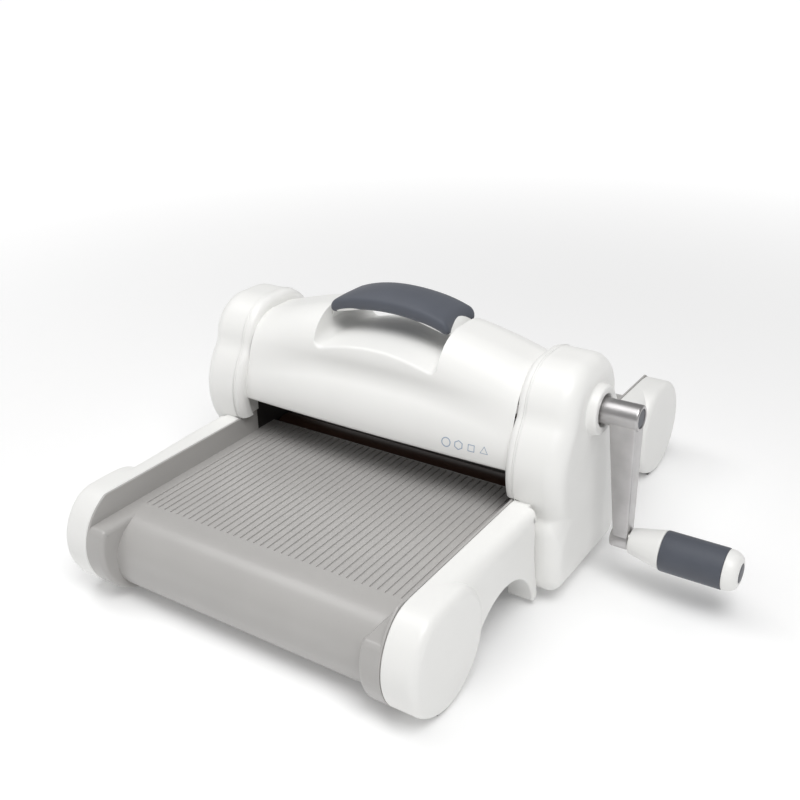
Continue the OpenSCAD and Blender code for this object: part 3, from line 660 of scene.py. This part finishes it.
@dataclass
class Tower:
    """One end tower with its trim ring.

    Attributes:
        side: Which side it stands on.
        fillet: Radius of the rounding on its outer end.
        foot_fillet: The same at the foot of the skirt.
        trim_fillet: Radius of the rounding on the trim ring.
        trim_low: Width of the trim ring's face beside the bed.
        trim_high: Width of the trim ring's face round the cover.
        trim_turn: Height at which that width changes.
        count: Points round its outline.
        centre: Middle from which the outline is traced.
    """

    side: Side
    fillet: float = 13.0
    foot_fillet: float = 9.5
    trim_fillet: float = 5.2
    trim_low: float = 8.8
    trim_high: float = 16.0
    trim_turn: float = 97.0
    count: int = 300
    centre: Flat = (0.0, 92.0)
    outline: Field = field(init=False)
    angles: np.ndarray = field(init=False)

    def __post_init__(self) -> None:
        """Sets up the outline and evenly spaced rays round it."""
        top_lobe = pill_part(6.5, 131.2, 32.8)
        waist = round_part(0.0, 94.5, 54.3)
        skirt = block_part(51.0, 9.0, 66.0, 12.0)
        self.outline = Field(
            [top_lobe, waist, skirt],
            soft=4.0,
        )
        dense = self.outline.trace(self.centre, np.linspace(0, math.tau, 1441)[:-1], 0.0)
        even = np.array(resample(dense, self.count, closed=True))
        across, up = even[:, 0] - self.centre[0], even[:, 1] - self.centre[1]
        self.angles = np.unwrap(np.arctan2(up, across))

    def ring(self, x: float, inset: float) -> List[Point]:
        """The outline drawn in by a distance, at one x."""
        return at_x(self.outline.trace(self.centre, self.angles, inset), x)

    def rounding(self, end: float, steps: int = 12) -> List[List[Point]]:
        """Rings that round the outer end over, more tightly round the foot of the skirt.

        Args:
            end: Where the end face lies.
            steps: Segments of the rounding.

        Returns:
            The rings from the side to the end face.
        """
        heights = [b for _, _, b in self.ring(end, 0.0)]
        foot = self.foot_fillet
        radii = np.array([foot + (self.fillet - foot) * ease((b - 12.0) / 46.0) for b in heights])
        rings = []
        for k in range(1, steps + 1):
            t = math.radians(90 * k / steps)
            flat = self.outline.trace(self.centre, self.angles, radii * (1 - math.cos(t)))
            rings.append([(end - r * (1 - math.sin(t)), a, b) for (a, b), r in zip(flat, radii)])
        flat = self.outline.trace(self.centre, self.angles, radii + 0.7)
        return rings + [at_x(flat, end)]

    def build(self) -> None:
        """Builds the shell and the trim."""
        self._shell()
        self._trim()

    def _name(self) -> str:
        """The side's name in the names of pieces."""
        return self.side.name.lower()

    def _shell(self) -> None:
        """The outer housing, with the round boss on the crank side."""
        sculpt, end, r = Sculpt(), S.tower_end, self.fillet
        seam = S.seam_x
        lip = ((1.5, 2.0), (0.0, 2.0), (0.0, 0.2), (0.12, 0.0))
        rings = [self.ring(seam + dx, inset) for dx, inset in lip]
        rings += [self.ring(x, 0.0) for x in (seam + 2.5, seam + 9, end - r)]
        rings += self.rounding(end)
        plain = self.side is Side.LEFT
        sculpt.skin(rings, caps=(False, plain))
        if not plain:
            self._boss(sculpt)
        sculpt.trim_away(
            lambda p: p.x < S.plate_x + 0.5 and p.z < S.cut_z,
            [((S.plate_x + 0.5, 0, 0), (1, 0, 0)), ((0, 0, S.cut_z), (0, 0, 1))],
        )
        if plain:
            sculpt.mirrored("x")
        name = f"{self._name()}_tower"
        obj = sculpt.finish(name, "machine", "white_shell", WHITE, [f"{name}_shell"])
        wall = obj.modifiers.new("wall", "SOLIDIFY")
        wall.thickness, wall.offset = 2.6 * MM, -1.0

    def _boss(self, sculpt: Sculpt) -> None:
        """Adds the soft round boss and its hole to the end face."""
        bm, z, end = sculpt.bm, S.crank_z, S.tower_end
        flare = ((0, 18.6), (0.25, 18.2), (0.8, 17.8), (1.8, 17.5), (3.2, 17.3), (4.6, 17.0))
        nose = ((5.4, 16.7), (5.85, 16.2), (6, 15.4), (6, 14.9))
        bore = ((6, 12.2), (5.75, 11.6), (5.2, 11.2), (-4, 11.2))
        profile = [(end + dx, radius) for dx, radius in flare + nose + bore]
        sculpt.lathe(profile, (0.0, z), 96)
        rims = [e for e in bm.edges if e.is_boundary]
        sculpt.fill([e for e in rims if all(abs(v.co.x - end) < 1e-3 for v in e.verts)])

    def _trim(self) -> None:
        """The ring on the inner edge, rounded over and stepped in round the cover."""
        sculpt, x, r = Sculpt(), S.tower_x, self.trim_fillet
        back = S.seam_x - 0.06
        rings = [self.ring(back, 0.2), self.ring(back - 0.12, 0.0), self.ring(x + r, 0.0)]
        for k in range(1, 10):
            t = math.radians(90 * k / 9)
            rings.append(self.ring(x + r * (1 - math.sin(t)), r * (1 - math.cos(t))))
        low, high, turn = self.trim_low, self.trim_high, self.trim_turn
        rings += [self.ring(x, r + 0.3), self.ring(x, low)]
        deep = [low if b < turn else high for _, _, b in self.ring(x, 0.0)]
        edge = [
            self.outline.trace(self.centre, self.angles[i:i + 1], deep[i])[0]
            for i in range(self.count)
        ]
        rings += [at_x(edge, x), at_x(edge, back)]
        sculpt.skin(rings, caps=(False, False))
        sculpt.trim_away(lambda p: p.z < S.cut_z, [((0, 0, S.cut_z), (0, 0, 1))])
        for sign in (-1, 1):
            low, high = sorted((sign * S.reveal, sign * 46.5))
            sculpt.add_box((x + 3.5, low, S.cut_z), (x + 7.5, high, 112.0), 0.6)
        if self.side is Side.LEFT:
            sculpt.mirrored("x")
        name = self._name()
        sculpt.finish(f"{name}_trim", "machine", "white_shell", WHITE, [f"{name}_tower_trim"])


# ---------------------------------------------------------------- cover and handle


@dataclass
class Cover:
    """The cover between the towers with its finger opening and handle.

    Attributes:
        half: Half its length.
        open_half: Half the finger opening's length.
        corner: Radius at the ends of the opening's floor.
        edge_z: Height of the lower edge at its ends.
        crest_r: Radius of the crest.
        crest_flat: Half the flat width on top of the crest.
    """

    half: float = S.cover_half + 0.4
    open_half: float = 52.0
    corner: float = 8.0
    edge_z: float = 94.5
    crest_r: float = 31.0
    crest_flat: float = 8.0

    def crest(self, x: float) -> float:
        """Height of the crest at a place along the cover."""
        xs = [0, 30, 51, 64, 80, 94, 107, 112]
        zs = [174.0, 173.2, 170.6, 168.4, 164.6, 160.8, 157.0, 155.7]
        return float(np.interp(abs(x), xs, zs))

    def belly(self, x: float) -> float:
        """Radius of the lower lobe at a place along the cover."""
        return 47.5 + 2.8 * (1 - (x / self.half) ** 2)

    def section(self, x: float) -> Field:
        """The cover's cross-section: a flat-topped crest over a round belly."""
        crest = pill_part(self.crest_flat, self.crest(x) - self.crest_r, self.crest_r)
        return Field([crest, round_part(0.0, 98.0, self.belly(x))], soft=7.0)

    def lower(self, x: float) -> float:
        """Height of the lower edge."""
        return self.edge_z + 0.8 * (1 - (x / self.half) ** 2)

    def half_line(self, x: float) -> List[Flat]:
        """The front half of the section, from the lower edge to the crest."""
        shape = self.section(x)
        down = math.radians(180) + math.asin(min(0.9, (100 - self.lower(x)) / 48.0))
        angles = np.linspace(down, math.pi / 2, 500)
        return shape.trace((0.0, 100.0), angles, 0.0)

    def floor(self, x: float, y: float) -> float:
        """Height of the floor of the finger opening."""
        run = abs(x) - (self.open_half - self.corner)
        rise = self.corner - math.sqrt(max(0.0, self.corner ** 2 - max(0.0, run) ** 2))
        return 157.5 - 0.0032 * x * x - 0.0035 * y * y + rise

    def top(self, x: float, y: float) -> float:
        """Height of the full cover above a place."""
        over, r = max(0.0, abs(y) - self.crest_flat), self.crest_r
        return self.crest(x) - r + math.sqrt(max(0.0, r ** 2 - over ** 2))

    def brim(self, x: float) -> float:
        """Distance from the middle at which the floor meets the cover's face."""
        low, high = 5.0, 38.9
        for _ in range(40):
            mid = (low + high) / 2
            low, high = (mid, high) if self.top(x, mid) > self.floor(x, mid) else (low, mid)
        return low

    def build(self) -> None:
        """Builds the cover, the handle's core and the soft grip."""
        sculpt = Sculpt()
        self._shell(sculpt)
        handle = Handle(self)
        handle.core(sculpt)
        sculpt.finish("cover", "machine", "white_shell", WHITE, ["top_cover"], crease=48.0)
        handle.grip()
        self._print()

    def _stations(self) -> List[Tuple[float, bool]]:
        """Places along the cover: x, and whether the opening is cut there."""
        full = (self.half, self.half - 1.2, 108, 104, 99, 94, 89, 84, 79, 74, 69, 64.5)
        full += (60.5, 57.5, 55.2, 53.8, 52.9, 52.3, 52.02)
        cut = (52.0, 51.97, 51.8, 51.4, 50.8, 50.0, 49.0, 47.8, 46.4, 45.2, 44.0, 42.5)
        cut += (39, 34, 29, 24, 19, 14, 9, 4.5)
        side = [(x, False) for x in full] + [(x, True) for x in cut]
        return [(-x, is_cut) for x, is_cut in side] + [(0.0, True)] + side[::-1]

    def _line(self, x: float, cut: bool) -> List[Flat]:
        """Half a cross-section, from inside the lower edge to the middle.

        Args:
            x: Place along the cover.
            cut: Whether the finger opening is cut there.

        Returns:
            The section's points on the front side.
        """
        full = self.half_line(x)
        y0, z0 = full[0]
        hem = ((9.0, 12.0), (4.2, 4.0), (3.1, 0.2), (2.5, -0.8), (1.5, -1.2), (0.6, -0.9))
        hem = [(y0 + dy, z0 + dz) for dy, dz in hem]
        edge = self.brim(x if abs(x) < self.open_half else math.copysign(self.open_half, x))
        turn = next(i for i in range(len(full)) if full[i][1] > 135 and full[i][0] > -edge)
        above = self.top if abs(x) > self.open_half else self.floor
        face = resample(full[:turn] + [(-edge, above(x, edge))], 46)
        run = np.linspace(edge, 0.0, 30)
        if cut:
            inner = [(-y, self.floor(x, y)) for y in run]
            path = np.array(face + inner[1:])
            k = len(face) - 1
            for pull, width in ((0.5, 1), (0.32, 2), (0.18, 3)):
                for i in (k - width + 1, k + width - 1):
                    path[i] = path[i] * (1 - pull * 0.5) + (path[i - 1] + path[i + 1]) / 2 * pull * 0.5
            line = [tuple(p) for p in path]
        else:
            inner = [(-y, self.top(x, y)) for y in run]
            line = face + inner[1:]
        return hem + line

    def _shell(self, sculpt: Sculpt) -> None:
        """The cover's skin."""
        rings = []
        for x, cut in self._stations():
            half = self._line(x, cut)
            whole = half + [(-a, b) for a, b in reversed(half[:-1])]
            rings.append(at_x(whole, x))
        sculpt.skin(rings, closed=False)

    def _print(self) -> None:
        """A small row of plain shapes printed on the cover's lower right."""
        sculpt, middle = Sculpt(), 104.0
        for x, sides in ((66.0, 48), (75.5, 6), (85.0, 4), (94.5, 3)):
            loops = []
            for reach, lift in ((3.5, 0.0), (3.5, 0.12), (2.8, 0.12), (2.8, 0.0), (3.5, 0.0)):
                turn = math.pi / 4 if sides == 4 else math.pi / 2
                turns = [turn + math.tau * k / sides for k in range(sides)]
                corners = [(reach * math.cos(t), reach * math.sin(t)) for t in turns]
                loop = resample(corners, 48, closed=True)
                spots = [(x + a, middle + b) for a, b in loop]
                loops.append([(a, self._face(a, b) - lift, b) for a, b in spots])
            sculpt.skin(loops, caps=(False, False))
        sculpt.finish("cover_print", "machine", "white_shell", PRINT)

    def _face(self, x: float, z: float) -> float:
        """Where the cover's front face lies at a place and height."""
        line = [p for p in self.half_line(x) if p[1] < 130]
        return float(np.interp(z, [b for _, b in line], [a for a, _ in line]))


@dataclass
class Handle:
    """The arched carry handle: a white core with a soft grip round it.

    Attributes:
        cover: The cover that it stands on.
        half: Half its length.
        depth: Half its width.
        crown_z: Height of the top line in the middle.
        crown_r: Radius of the top line.
        under_z: Height of the underside in the middle.
        under_r: Radius of the underside.
    """

    cover: Cover
    half: float = 51.0
    depth: float = 20.0
    crown_z: float = 187.9
    crown_r: float = 103.0
    under_z: float = 173.4
    under_r: float = 130.0

    def crown(self, x: float) -> float:
        """Height of the handle's top line."""
        if abs(x) > self.half:
            return self.cover.crest(x)
        return self.crown_z - (self.crown_r - math.sqrt(self.crown_r ** 2 - x * x))

    def under(self, x: float) -> float:
        """Height of the handle's underside."""
        return self.under_z - (self.under_r - math.sqrt(self.under_r ** 2 - x * x))

    def loop(self, x: float, inset: float, bow: float = 0.0) -> List[Point]:
        """A closed cross-section.

        Args:
            x: Place along the handle.
            inset: How far it is drawn in.
            bow: How far its sides reach past x, for the curved ends of the grip.

        Returns:
            The section's points.
        """
        share = ease(abs(x) / self.half)
        depth, crown, under = self.depth - inset, self.crown(x) - inset, self.under(x) + inset
        drop = 5.6 - 2.6 * share
        top = [(y, crown - drop * abs(y / depth) ** 2.3) for y in np.linspace(depth, -depth, 49)]
        side = top[0][1]
        low = min(under, side - 2.0)
        corner = min(4.8, (side - low) * 0.46)
        upper = corner * 0.9
        foot = [(-depth, low, corner), (depth, low, corner), (depth, side, upper)]
        crest = [(y, z, 0.0) for y, z in top[4:-4]]
        body = rounded(foot + crest + [(-depth, side, upper)], 6)
        pts = resample(body, 150, closed=True)
        out = []
        for y, z in pts:
            sweep = bow * (y / self.depth) ** 2
            out.append((x + sweep, y, z))
        return out

    def core(self, sculpt: Sculpt) -> None:
        """Adds the white core to the cover's mesh."""
        rings = []
        half = (54.0, 52.0, 50.0, 48.0, 46.0, 44.0, 40.0, 20.0)
        for x in [-x for x in half] + [0.0] + list(reversed(half)):
            inset = 0.5 + 5.2 * ease((abs(x) - 43.0) / 8.0)
            rings.append(evened(self.loop(x, inset), 3))
        sculpt.skin(rings)

    def grip(self) -> None:
        """The soft overmould."""
        sculpt = Sculpt()
        bend, nose = 4.0, 5.5
        reach = self.half - bend
        steps = [math.radians(90 * k / 8) for k in range(9)]
        ends = [(reach - nose * (1 - math.cos(t)), nose * 0.82 * (1 - math.sin(t))) for t in steps]
        rings = [evened(self.loop(-x, inset, -bend), 3) for x, inset in ends]
        middle = reach - nose
        for x in np.linspace(-middle + 1.0, middle - 1.0, 37):
            rings.append(evened(self.loop(float(x), 0.0, bend * float(x) / middle), 3))
        rings += [evened(self.loop(x, inset, bend), 3) for x, inset in reversed(ends)]
        sculpt.skin(rings)
        sculpt.finish("handle_grip", "machine", "soft_grip", GRIP, ["carry_grip"], crease=50.0)


# ---------------------------------------------------------------- bed


@dataclass
class Bed:
    """One grooved feed bed with its rolled end, collars and side walls."""

    end: End

    def build(self) -> None:
        """Builds the bed as one moulding."""
        sculpt = Sculpt()
        self._surface(sculpt)
        for sign in (-1, 1):
            self._collar(sculpt, sign)
            self._wall(sculpt, sign)
        if self.end is End.REAR:
            sculpt.mirrored("y")
        name = self.end.name.lower()
        sculpt.finish(f"{name}_bed", "machine", "grey_tray", GREY, [f"{name}_tray"], crease=35.0)

    def _profile(self) -> List[Tuple[float, float]]:
        """Points across the bed: x and the share of the groove's depth."""
        edge = S.wall_x + S.wall_t / 2
        pts = [(-edge, 0.0), (-111.0, 0.0)]
        half = S.groove_w / 2
        flank = ((0.5, 0.0), (0.12, 0.0), (-0.05, 0.12), (-0.14, 0.9), (-0.3, 1.0))
        for i in range(-19, 20):
            x = i * S.groove_pitch
            pts += [(x + (-half - dx), share) for dx, share in flank]
            pts += [(x + (half + dx), share) for dx, share in reversed(flank)]
        return pts + [(111.0, 0.0), (edge, 0.0)]

    def _surface(self, sculpt: Sculpt) -> None:
        """The feed surface and the rolled lip."""
        back = ((1.5, 12, 0.0), (0.0, 10, 0.0), (0.0, 1.6, 0.0), (0.4, 0.5, 0.0))
        back += ((1.4, 0.0, 0.0), (2.0, 0.0, 0.0), (2.15, 0.0, 1.0))
        path = [(-S.bed_in - dy, S.bed_z - dz, share) for dy, dz, share in back]
        path += [(y, S.bed_z, 1.0) for y in (-30.0, -60.0, -100.0, -140.0, -160.4)]
        path += [(-160.8, S.bed_z, 0.85), (-161.1, S.bed_z, 0.0), (-162.0, S.bed_z, 0.0), (-166.0, S.bed_z, 0.0)]
        for y, z in arc(-S.bed_reach, S.lip_z, S.lip_r, 90, 270, 40):
            path.append((y, z, 0.0))
        bottom = S.lip_z - S.lip_r
        path += [(-157.0, bottom, 0.0), (-157.0, bottom + S.bed_wall, 0.0)]
        profile = self._profile()
        rings = [
            [(x, y, z - S.groove_d * share * depth) for x, share in profile]
            for y, z, depth in path
        ]
        sculpt.skin(rings, closed=False)

    def _collar(self, sculpt: Sculpt, sign: int) -> None:
        """The raised round band at the end of the lip, cut level with the bed."""
        cy, cz, r = -S.bed_reach, S.disc_z, S.collar_r
        inner, level = 103.6, S.bed_z + 0.06
        start = 180 - math.degrees(math.asin((level - cz) / r))
        outline = [(-156.0, level - 2.0), (-160.0, level - 0.4), (-161.5, level), (-163.0, level)]
        outline += [(y, level) for y in np.linspace(-165, cy - 34.0, 12)]
        outline += arc(cy, cz, r, start + 4.0, 270, 60) + [(-150.0, 8.0), (-150.0, 40.0)]
        outline = resample(outline, 160, closed=True)
        radii = [3.4 if a < -163.5 else 0.3 for a, _ in outline]
        rings = [at_x(outline, S.wall_x + 0.4)]
        for ring in fillet_rings(outline, -inner, radii, 1, 6, 0.6):
            rings.append([(-x, a, b) for x, a, b in ring])
        rings = [[(sign * x, a, b) for x, a, b in ring] for ring in rings]
        sculpt.skin(rings)

    def _wall(self, sculpt: Sculpt, sign: int) -> None:
        """The upright side wall, rounded where it meets the disc."""
        cy, cz, r, top = -S.bed_reach, S.disc_z, S.collar_r, S.wall_top
        a0 = math.degrees(math.asin((top - cz) / r))
        outline = [(-S.wall_in, top), (-S.wall_in, 43.5), (-140.0, 43.5), (-150.0, 8.0)]
        outline += arc(cy, cz, r, 270, 180 - a0, 60)
        outline += [(cy, top)]
        outline = resample(outline, 260, closed=True)
        inner, outer = S.wall_x, S.wall_x + S.wall_t
        edge = [0.45] * len(outline)
        inward = reversed(fillet_rings(outline, -inner, edge, 1, 3, 0.4))
        rings = [[(-x, a, b) for x, a, b in ring] for ring in inward]
        rings += fillet_rings(outline, outer, edge, 1, 3, 0.4)
        rings = [[(sign * x, a, b) for x, a, b in ring] for ring in rings]
        sculpt.skin(rings)


# ---------------------------------------------------------------- rails


@dataclass
class Rail:
    """One side rail with its round foot disc."""

    side: Side
    end: End

    def build(self) -> None:
        """Builds the rail and the disc as one moulding."""
        sculpt = Sculpt()
        self._body(sculpt)
        self._disc(sculpt)
        if self.side is Side.LEFT:
            sculpt.mirrored("x")
        if self.end is End.REAR:
            sculpt.mirrored("y")
        name = f"{self.end.name.lower()}_{self.side.name.lower()}_rail"
        sculpt.finish(f"{name}_shell", "machine", "white_shell", WHITE, [name])

    def _body(self, sculpt: Sculpt) -> None:
        """The rail's side with its arch, rounded on the outer edge."""
        top, y1, ay, ar = S.wall_top, -S.rail_in + 4.6, -S.arch_y, S.arch_r
        end = [(y1, top, 4.0), (y1, 24.0, 10.0), (-49.2, 7.0, 2.2), (-52.4, 4.9, 0.6)]
        line = rounded([(-178.0, top, 0.0)] + end, 8)[:-1]
        line += arc(ay, -2.0, ar, math.degrees(math.asin(7 / ar)), 149.2, 46)
        line += [(-150.0, 21.0), (-178.0, 26.0)]
        line = resample(line, 260, closed=True)
        radii = []
        for y, z in line:
            if z > top - 5.0 and y > y1 - 5.0:
                r = 7.2
            elif z > top - 1.2:
                r = 7.5 + 4.5 * ease((-y - 70) / 80)
            elif y > y1 - 1.0:
                r = 1.4 + 5.6 * ease((z - 14) / 34)
            else:
                r = 1.6
            radii.append(r)
        radii = list(np.convolve(np.array(radii * 3), np.ones(9) / 9, "same")[260:520])
        first = shrink(line, [0.5] * len(line))
        rings = [at_x(first, S.rail_x), at_x(line, S.rail_x + 0.5)]
        rings += fillet_rings(line, S.rail_out, radii, 1, 9, 0.5)
        sculpt.skin(rings)
        low, high = (S.rail_x + 0.3, y1 - 6.0, 26.0), (S.rail_x + 12.5, y1 + 8.5, top - 0.05)
        sculpt.add_box(low, high, 0.6)

    def _disc(self, sculpt: Sculpt) -> None:
        """The proud round foot disc, whose top runs level with the rail."""
        x1, r, top = S.disc_out, S.disc_r, S.wall_top + 0.25
        lean = math.degrees(math.asin((top - S.disc_z) / r))
        line = resample(arc(-S.bed_reach, S.disc_z, r, 180 - lean, 360 + lean, 90), 220, closed=True)
        line = evened(line, 70)
        rings = [at_x(shrink(line, [0.7] * len(line)), S.rail_x), at_x(line, S.rail_x + 0.8)]
        rings += fillet_rings(line, x1, [6.0] * len(line), 1, 10, 1.5)
        sculpt.skin(rings)


# ---------------------------------------------------------------- crank


@dataclass
class Crank:
    """The cast arm with its hub and the turning grip."""

    def build(self) -> None:
        """Builds the arm, the hub's cap and the grip."""
        self._arm()
        self._cap()
        self._grip()

    def _arm(self) -> None:
        """Hub, tapered arm and lower boss as one casting."""
        sculpt, z, x1 = Sculpt(), S.crank_z, S.hub_out
        r = S.hub_r
        profile = [(S.hub_in, 5.1), (S.hub_in, r - 0.8), (S.hub_in + 0.8, r), (162.0, r)]
        nose = ((1.6, 0.0), (0.9, 0.12), (0.35, 0.5), (0.05, 1.1), (0.0, 1.5), (0.1, 2.1))
        nose += ((0.4, 2.4), (3.0, 2.5))
        profile += [(x1 - dx, r - dr) for dx, dr in nose] + [(x1 - 3.0, 0.5)]
        sculpt.lathe(profile, (0.0, z), 80)
        rings = []
        for t in (0.0, 0.02, 0.06, 0.15, 0.4, 0.7, 0.9, 0.97, 1.0):
            height = (z - 2.0) + (S.grip_z + 4.0 - z + 2.0) * t
            x0 = 163.5 + 8.0 * t
            half = 7.6 - 1.4 * t
            c = 1.3
            face = [(S.arm_out, -half, c), (S.arm_out, half, c)]
            outline = rounded([(x0, -half, 0.9)] + face + [(x0, half, 0.9)], 4)
            rings.append([(a, b, height) for a, b in outline])
        sculpt.skin(rings)
        low, e = S.grip_z, 7.0
        eye = [(169.2, 0.5), (169.2, e - 1.4), (169.6, e - 0.5), (170.5, e)]
        eye += [(S.arm_out - 1.1, e), (S.arm_out - 0.3, e - 0.4)]
        eye += [(S.arm_out, e - 1.2), (S.arm_out, 3.5)]
        sculpt.lathe(eye, (0.0, low), 64)
        sculpt.finish("crank_casting", "crank", "cast_alloy", CAST, ["crank_arm"], crease=38.0)

    def _cap(self) -> None:
        """The dark cap in the hub's end."""
        sculpt, x1 = Sculpt(), S.hub_out
        line = ((2.5, 0.0), (2.5, 6.35), (1.1, 6.4), (0.7, 6.2), (0.55, 5.8), (0.5, 3.0), (0.5, 0.0))
        sculpt.lathe([(x1 - dx, radius) for dx, radius in line], (0.0, S.crank_z), 64)
        sculpt.finish("crank_cap", "crank", "dark_plastic", DARK, ["hub_cap"])

    def _grip(self) -> None:
        """White core, dark sleeve and plug of the turning grip."""
        at, r = (0.0, S.grip_z), S.sleeve_r
        a, b, c = S.sleeve_in, S.sleeve_out, S.core_out
        core = Sculpt()
        start, mouth = S.arm_out, 6.9
        profile = [(start + 0.9, 4.2), (start + 0.9, 8.2), (start + 1.2, 8.8), (start + 2.0, 9.2)]
        profile += [(194.0, 11.3), (a - 2.6, 13.3), (a - 1.0, r - 0.3), (a - 0.3, r - 0.3)]
        profile += [(a - 0.1, r - 0.6), (a, 11.5), (b, 11.5), (b + 0.1, r - 0.6), (b + 0.4, r - 0.3)]
        for k in range(13):
            t = math.radians(90 * k / 12)
            swell = (r - 0.25 - mouth) * math.cos(t) ** 0.75 if k < 12 else 0.0
            profile.append((b + 1.0 + (c - b - 1.0) * math.sin(t), mouth + swell))
        profile += [(c - 0.6, 6.62), (c - 2.4, 6.6), (c - 2.4, 4.2)]
        core.lathe(profile, at, 80)
        core.finish("grip_body", "grip", "white_shell", WHITE, ["grip_core"], crease=50.0)
        sleeve = Sculpt()
        rim = ((0.05, 11.6), (0.05, r - 0.7), (0.25, r - 0.2), (0.8, r), (8, r))
        tube = [(a + dx, radius) for dx, radius in rim]
        tube += [(b - dx, radius) for dx, radius in reversed(rim)]
        sleeve.lathe(tube, at, 96)
        sleeve.finish("grip_cover", "grip", "soft_grip", GRIP, ["grip_sleeve"])
        plug = Sculpt()
        disc = [(c - 2.3, 0.0), (c - 2.3, 6.5), (c - 0.4, 6.5), (c + 0.1, 6.2)]
        plug.lathe(disc + [(c + 0.35, 5.4), (c + 0.4, 2.0), (c + 0.4, 0.0)], at, 64)
        plug.finish("grip_end_plug", "grip", "dark_plastic", DARK, ["grip_plug"])


# ---------------------------------------------------------------- inner parts


@dataclass
class Works:
    """The frame, rollers, gears and fixings that are kept as CAD nodes."""

    nodes: Dict[str, bpy.types.Object]

    FINISHES = (
        (("foot",), RUBBER),
        (("guard", "base_pan"), BLACK),
        (("plate", "bracket", "spacer"), STEEL),
        (("screw", "nut", "bolt", "pin", "circlip", "key", "washer"), ZINC),
        (("tie_rods", "axle", "shaft"), STEEL),
        (("bushing",), NYLON),
        (("roller",), ROLLER),
        (("grip_core", "tower", "rail", "cover", "trim"), WHITE),
        (("tray",), GREY),
        (("carry_grip", "sleeve"), GRIP),
        (("cap", "plug"), DARK),
        (("arm",), CAST),
    )
    GEARS = ("crank_pinion", "upper_gear", "lower_gear")

    def dress(self) -> None:
        """Gives every CAD node its finish."""
        for name, node in self.nodes.items():
            finish = self._finish(name)
            node.data.materials.clear()
            node.data.materials.append(PAINT(finish))
            for face in node.data.polygons:
                face.material_index = 0

    def _finish(self, name: str) -> Finish:
        """Picks a node's finish by its name."""
        if name in self.GEARS:
            return STEEL
        for words, finish in self.FINISHES:
            if any(word in name for word in words):
                return finish
        return STEEL


# ---------------------------------------------------------------- stage


def outward(azimuth: float, height: float) -> Vector:
    """The direction away from the machine at two angles in degrees, as a unit vector."""
    a, e = math.radians(azimuth), math.radians(height)
    return Vector((math.sin(a) * math.cos(e), -math.cos(a) * math.cos(e), math.sin(e)))


@dataclass
class Studio:
    """Floor, lights and camera."""

    def build(self) -> None:
        """Builds the floor, the lights and the camera."""
        self._floor()
        self._lights()
        self._camera()

    def _floor(self) -> None:
        """A wide pale sweep that glows with painted light, more strongly away from the machine."""
        bm = bmesh.new()
        bmesh.ops.create_grid(bm, x_segments=8, y_segments=8, size=14.0)
        mesh = bpy.data.meshes.new("floor")
        bm.to_mesh(mesh)
        bm.free()
        floor = bpy.data.objects.new("floor", mesh)
        bpy.context.scene.collection.objects.link(floor)
        floor.data.materials.append(PAINT(FLOOR))

    def _area(
        self, name: str, azimuth: float, height: float, reach: float, size: float, power: float
    ) -> None:
        """A square soft box that looks at the machine.

        Args:
            name: Name of the light.
            azimuth: Its direction round the machine, in degrees from the front.
            height: Its angle above the floor, in degrees.
            reach: Its distance in metres.
            size: Its width in metres.
            power: Its power in watts.
        """
        light = bpy.data.lights.new(name, "AREA")
        light.shape, light.size, light.size_y = "RECTANGLE", size, size
        light.energy, light.color = power, (1, 1, 1)
        obj = bpy.data.objects.new(name, light)
        back = outward(azimuth, height)
        obj.location = back * reach + Vector((0, 0, 0.08))
        obj.rotation_mode = "QUATERNION"
        obj.rotation_quaternion = (-back).to_track_quat("-Z", "Y")
        bpy.context.scene.collection.objects.link(obj)

    def _lights(self) -> None:
        """Large key from the right front, fills and a bright surround."""
        self._area("key", 48.0, 56.0, 1.6, 0.75, 12.0)
        self._area("overhead", -20.0, 76.0, 1.5, 1.0, 6.0)
        self._area("fill", -50.0, 30.0, 1.8, 1.4, 0.8)
        self._area("strip", -75.0, 57.0, 1.3, 0.45, 2.6)
        world = bpy.data.worlds.new("surround")
        world.use_nodes = True
        back = world.node_tree.nodes["Background"]
        back.inputs["Color"].default_value = (1.0, 1.0, 1.0, 1.0)
        back.inputs["Strength"].default_value = 0.32
        bpy.context.scene.world = world

    def _camera(self) -> None:
        """The camera, matched to the viewing angle."""
        back, roll = outward(33.64, 24.87), math.radians(-1.15)
        right = (-back).cross(Vector((0, 0, 1))).normalized()
        up = right.cross(-back).normalized()
        r2 = right * math.cos(roll) + up * math.sin(roll)
        u2 = up * math.cos(roll) - right * math.sin(roll)
        data = bpy.data.cameras.new("camera")
        data.sensor_width, data.lens, data.shift_x = 36.0, 45.68, -0.0021
        data.clip_start, data.clip_end = 0.05, 50.0
        cam = bpy.data.objects.new("camera", data)
        frame = Matrix((r2, u2, back)).transposed()
        cam.matrix_world = Matrix.Translation((0.3778, -0.5702, 0.4169)) @ frame.to_4x4()
        bpy.context.scene.collection.objects.link(cam)
        bpy.context.scene.camera = cam


def main() -> None:
    """Builds the whole scene."""
    logging.basicConfig(level=logging.INFO)
    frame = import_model()
    bpy.context.scene.view_settings.view_transform = "Standard"
    Works(frame["nodes"]).dress()
    for side in Side:
        Tower(side).build()
    Cover().build()
    for end in End:
        Bed(end).build()
        for side in Side:
            Rail(side, end).build()
    Crank().build()
    Studio().build()


if __name__ == "__main__":
    main()
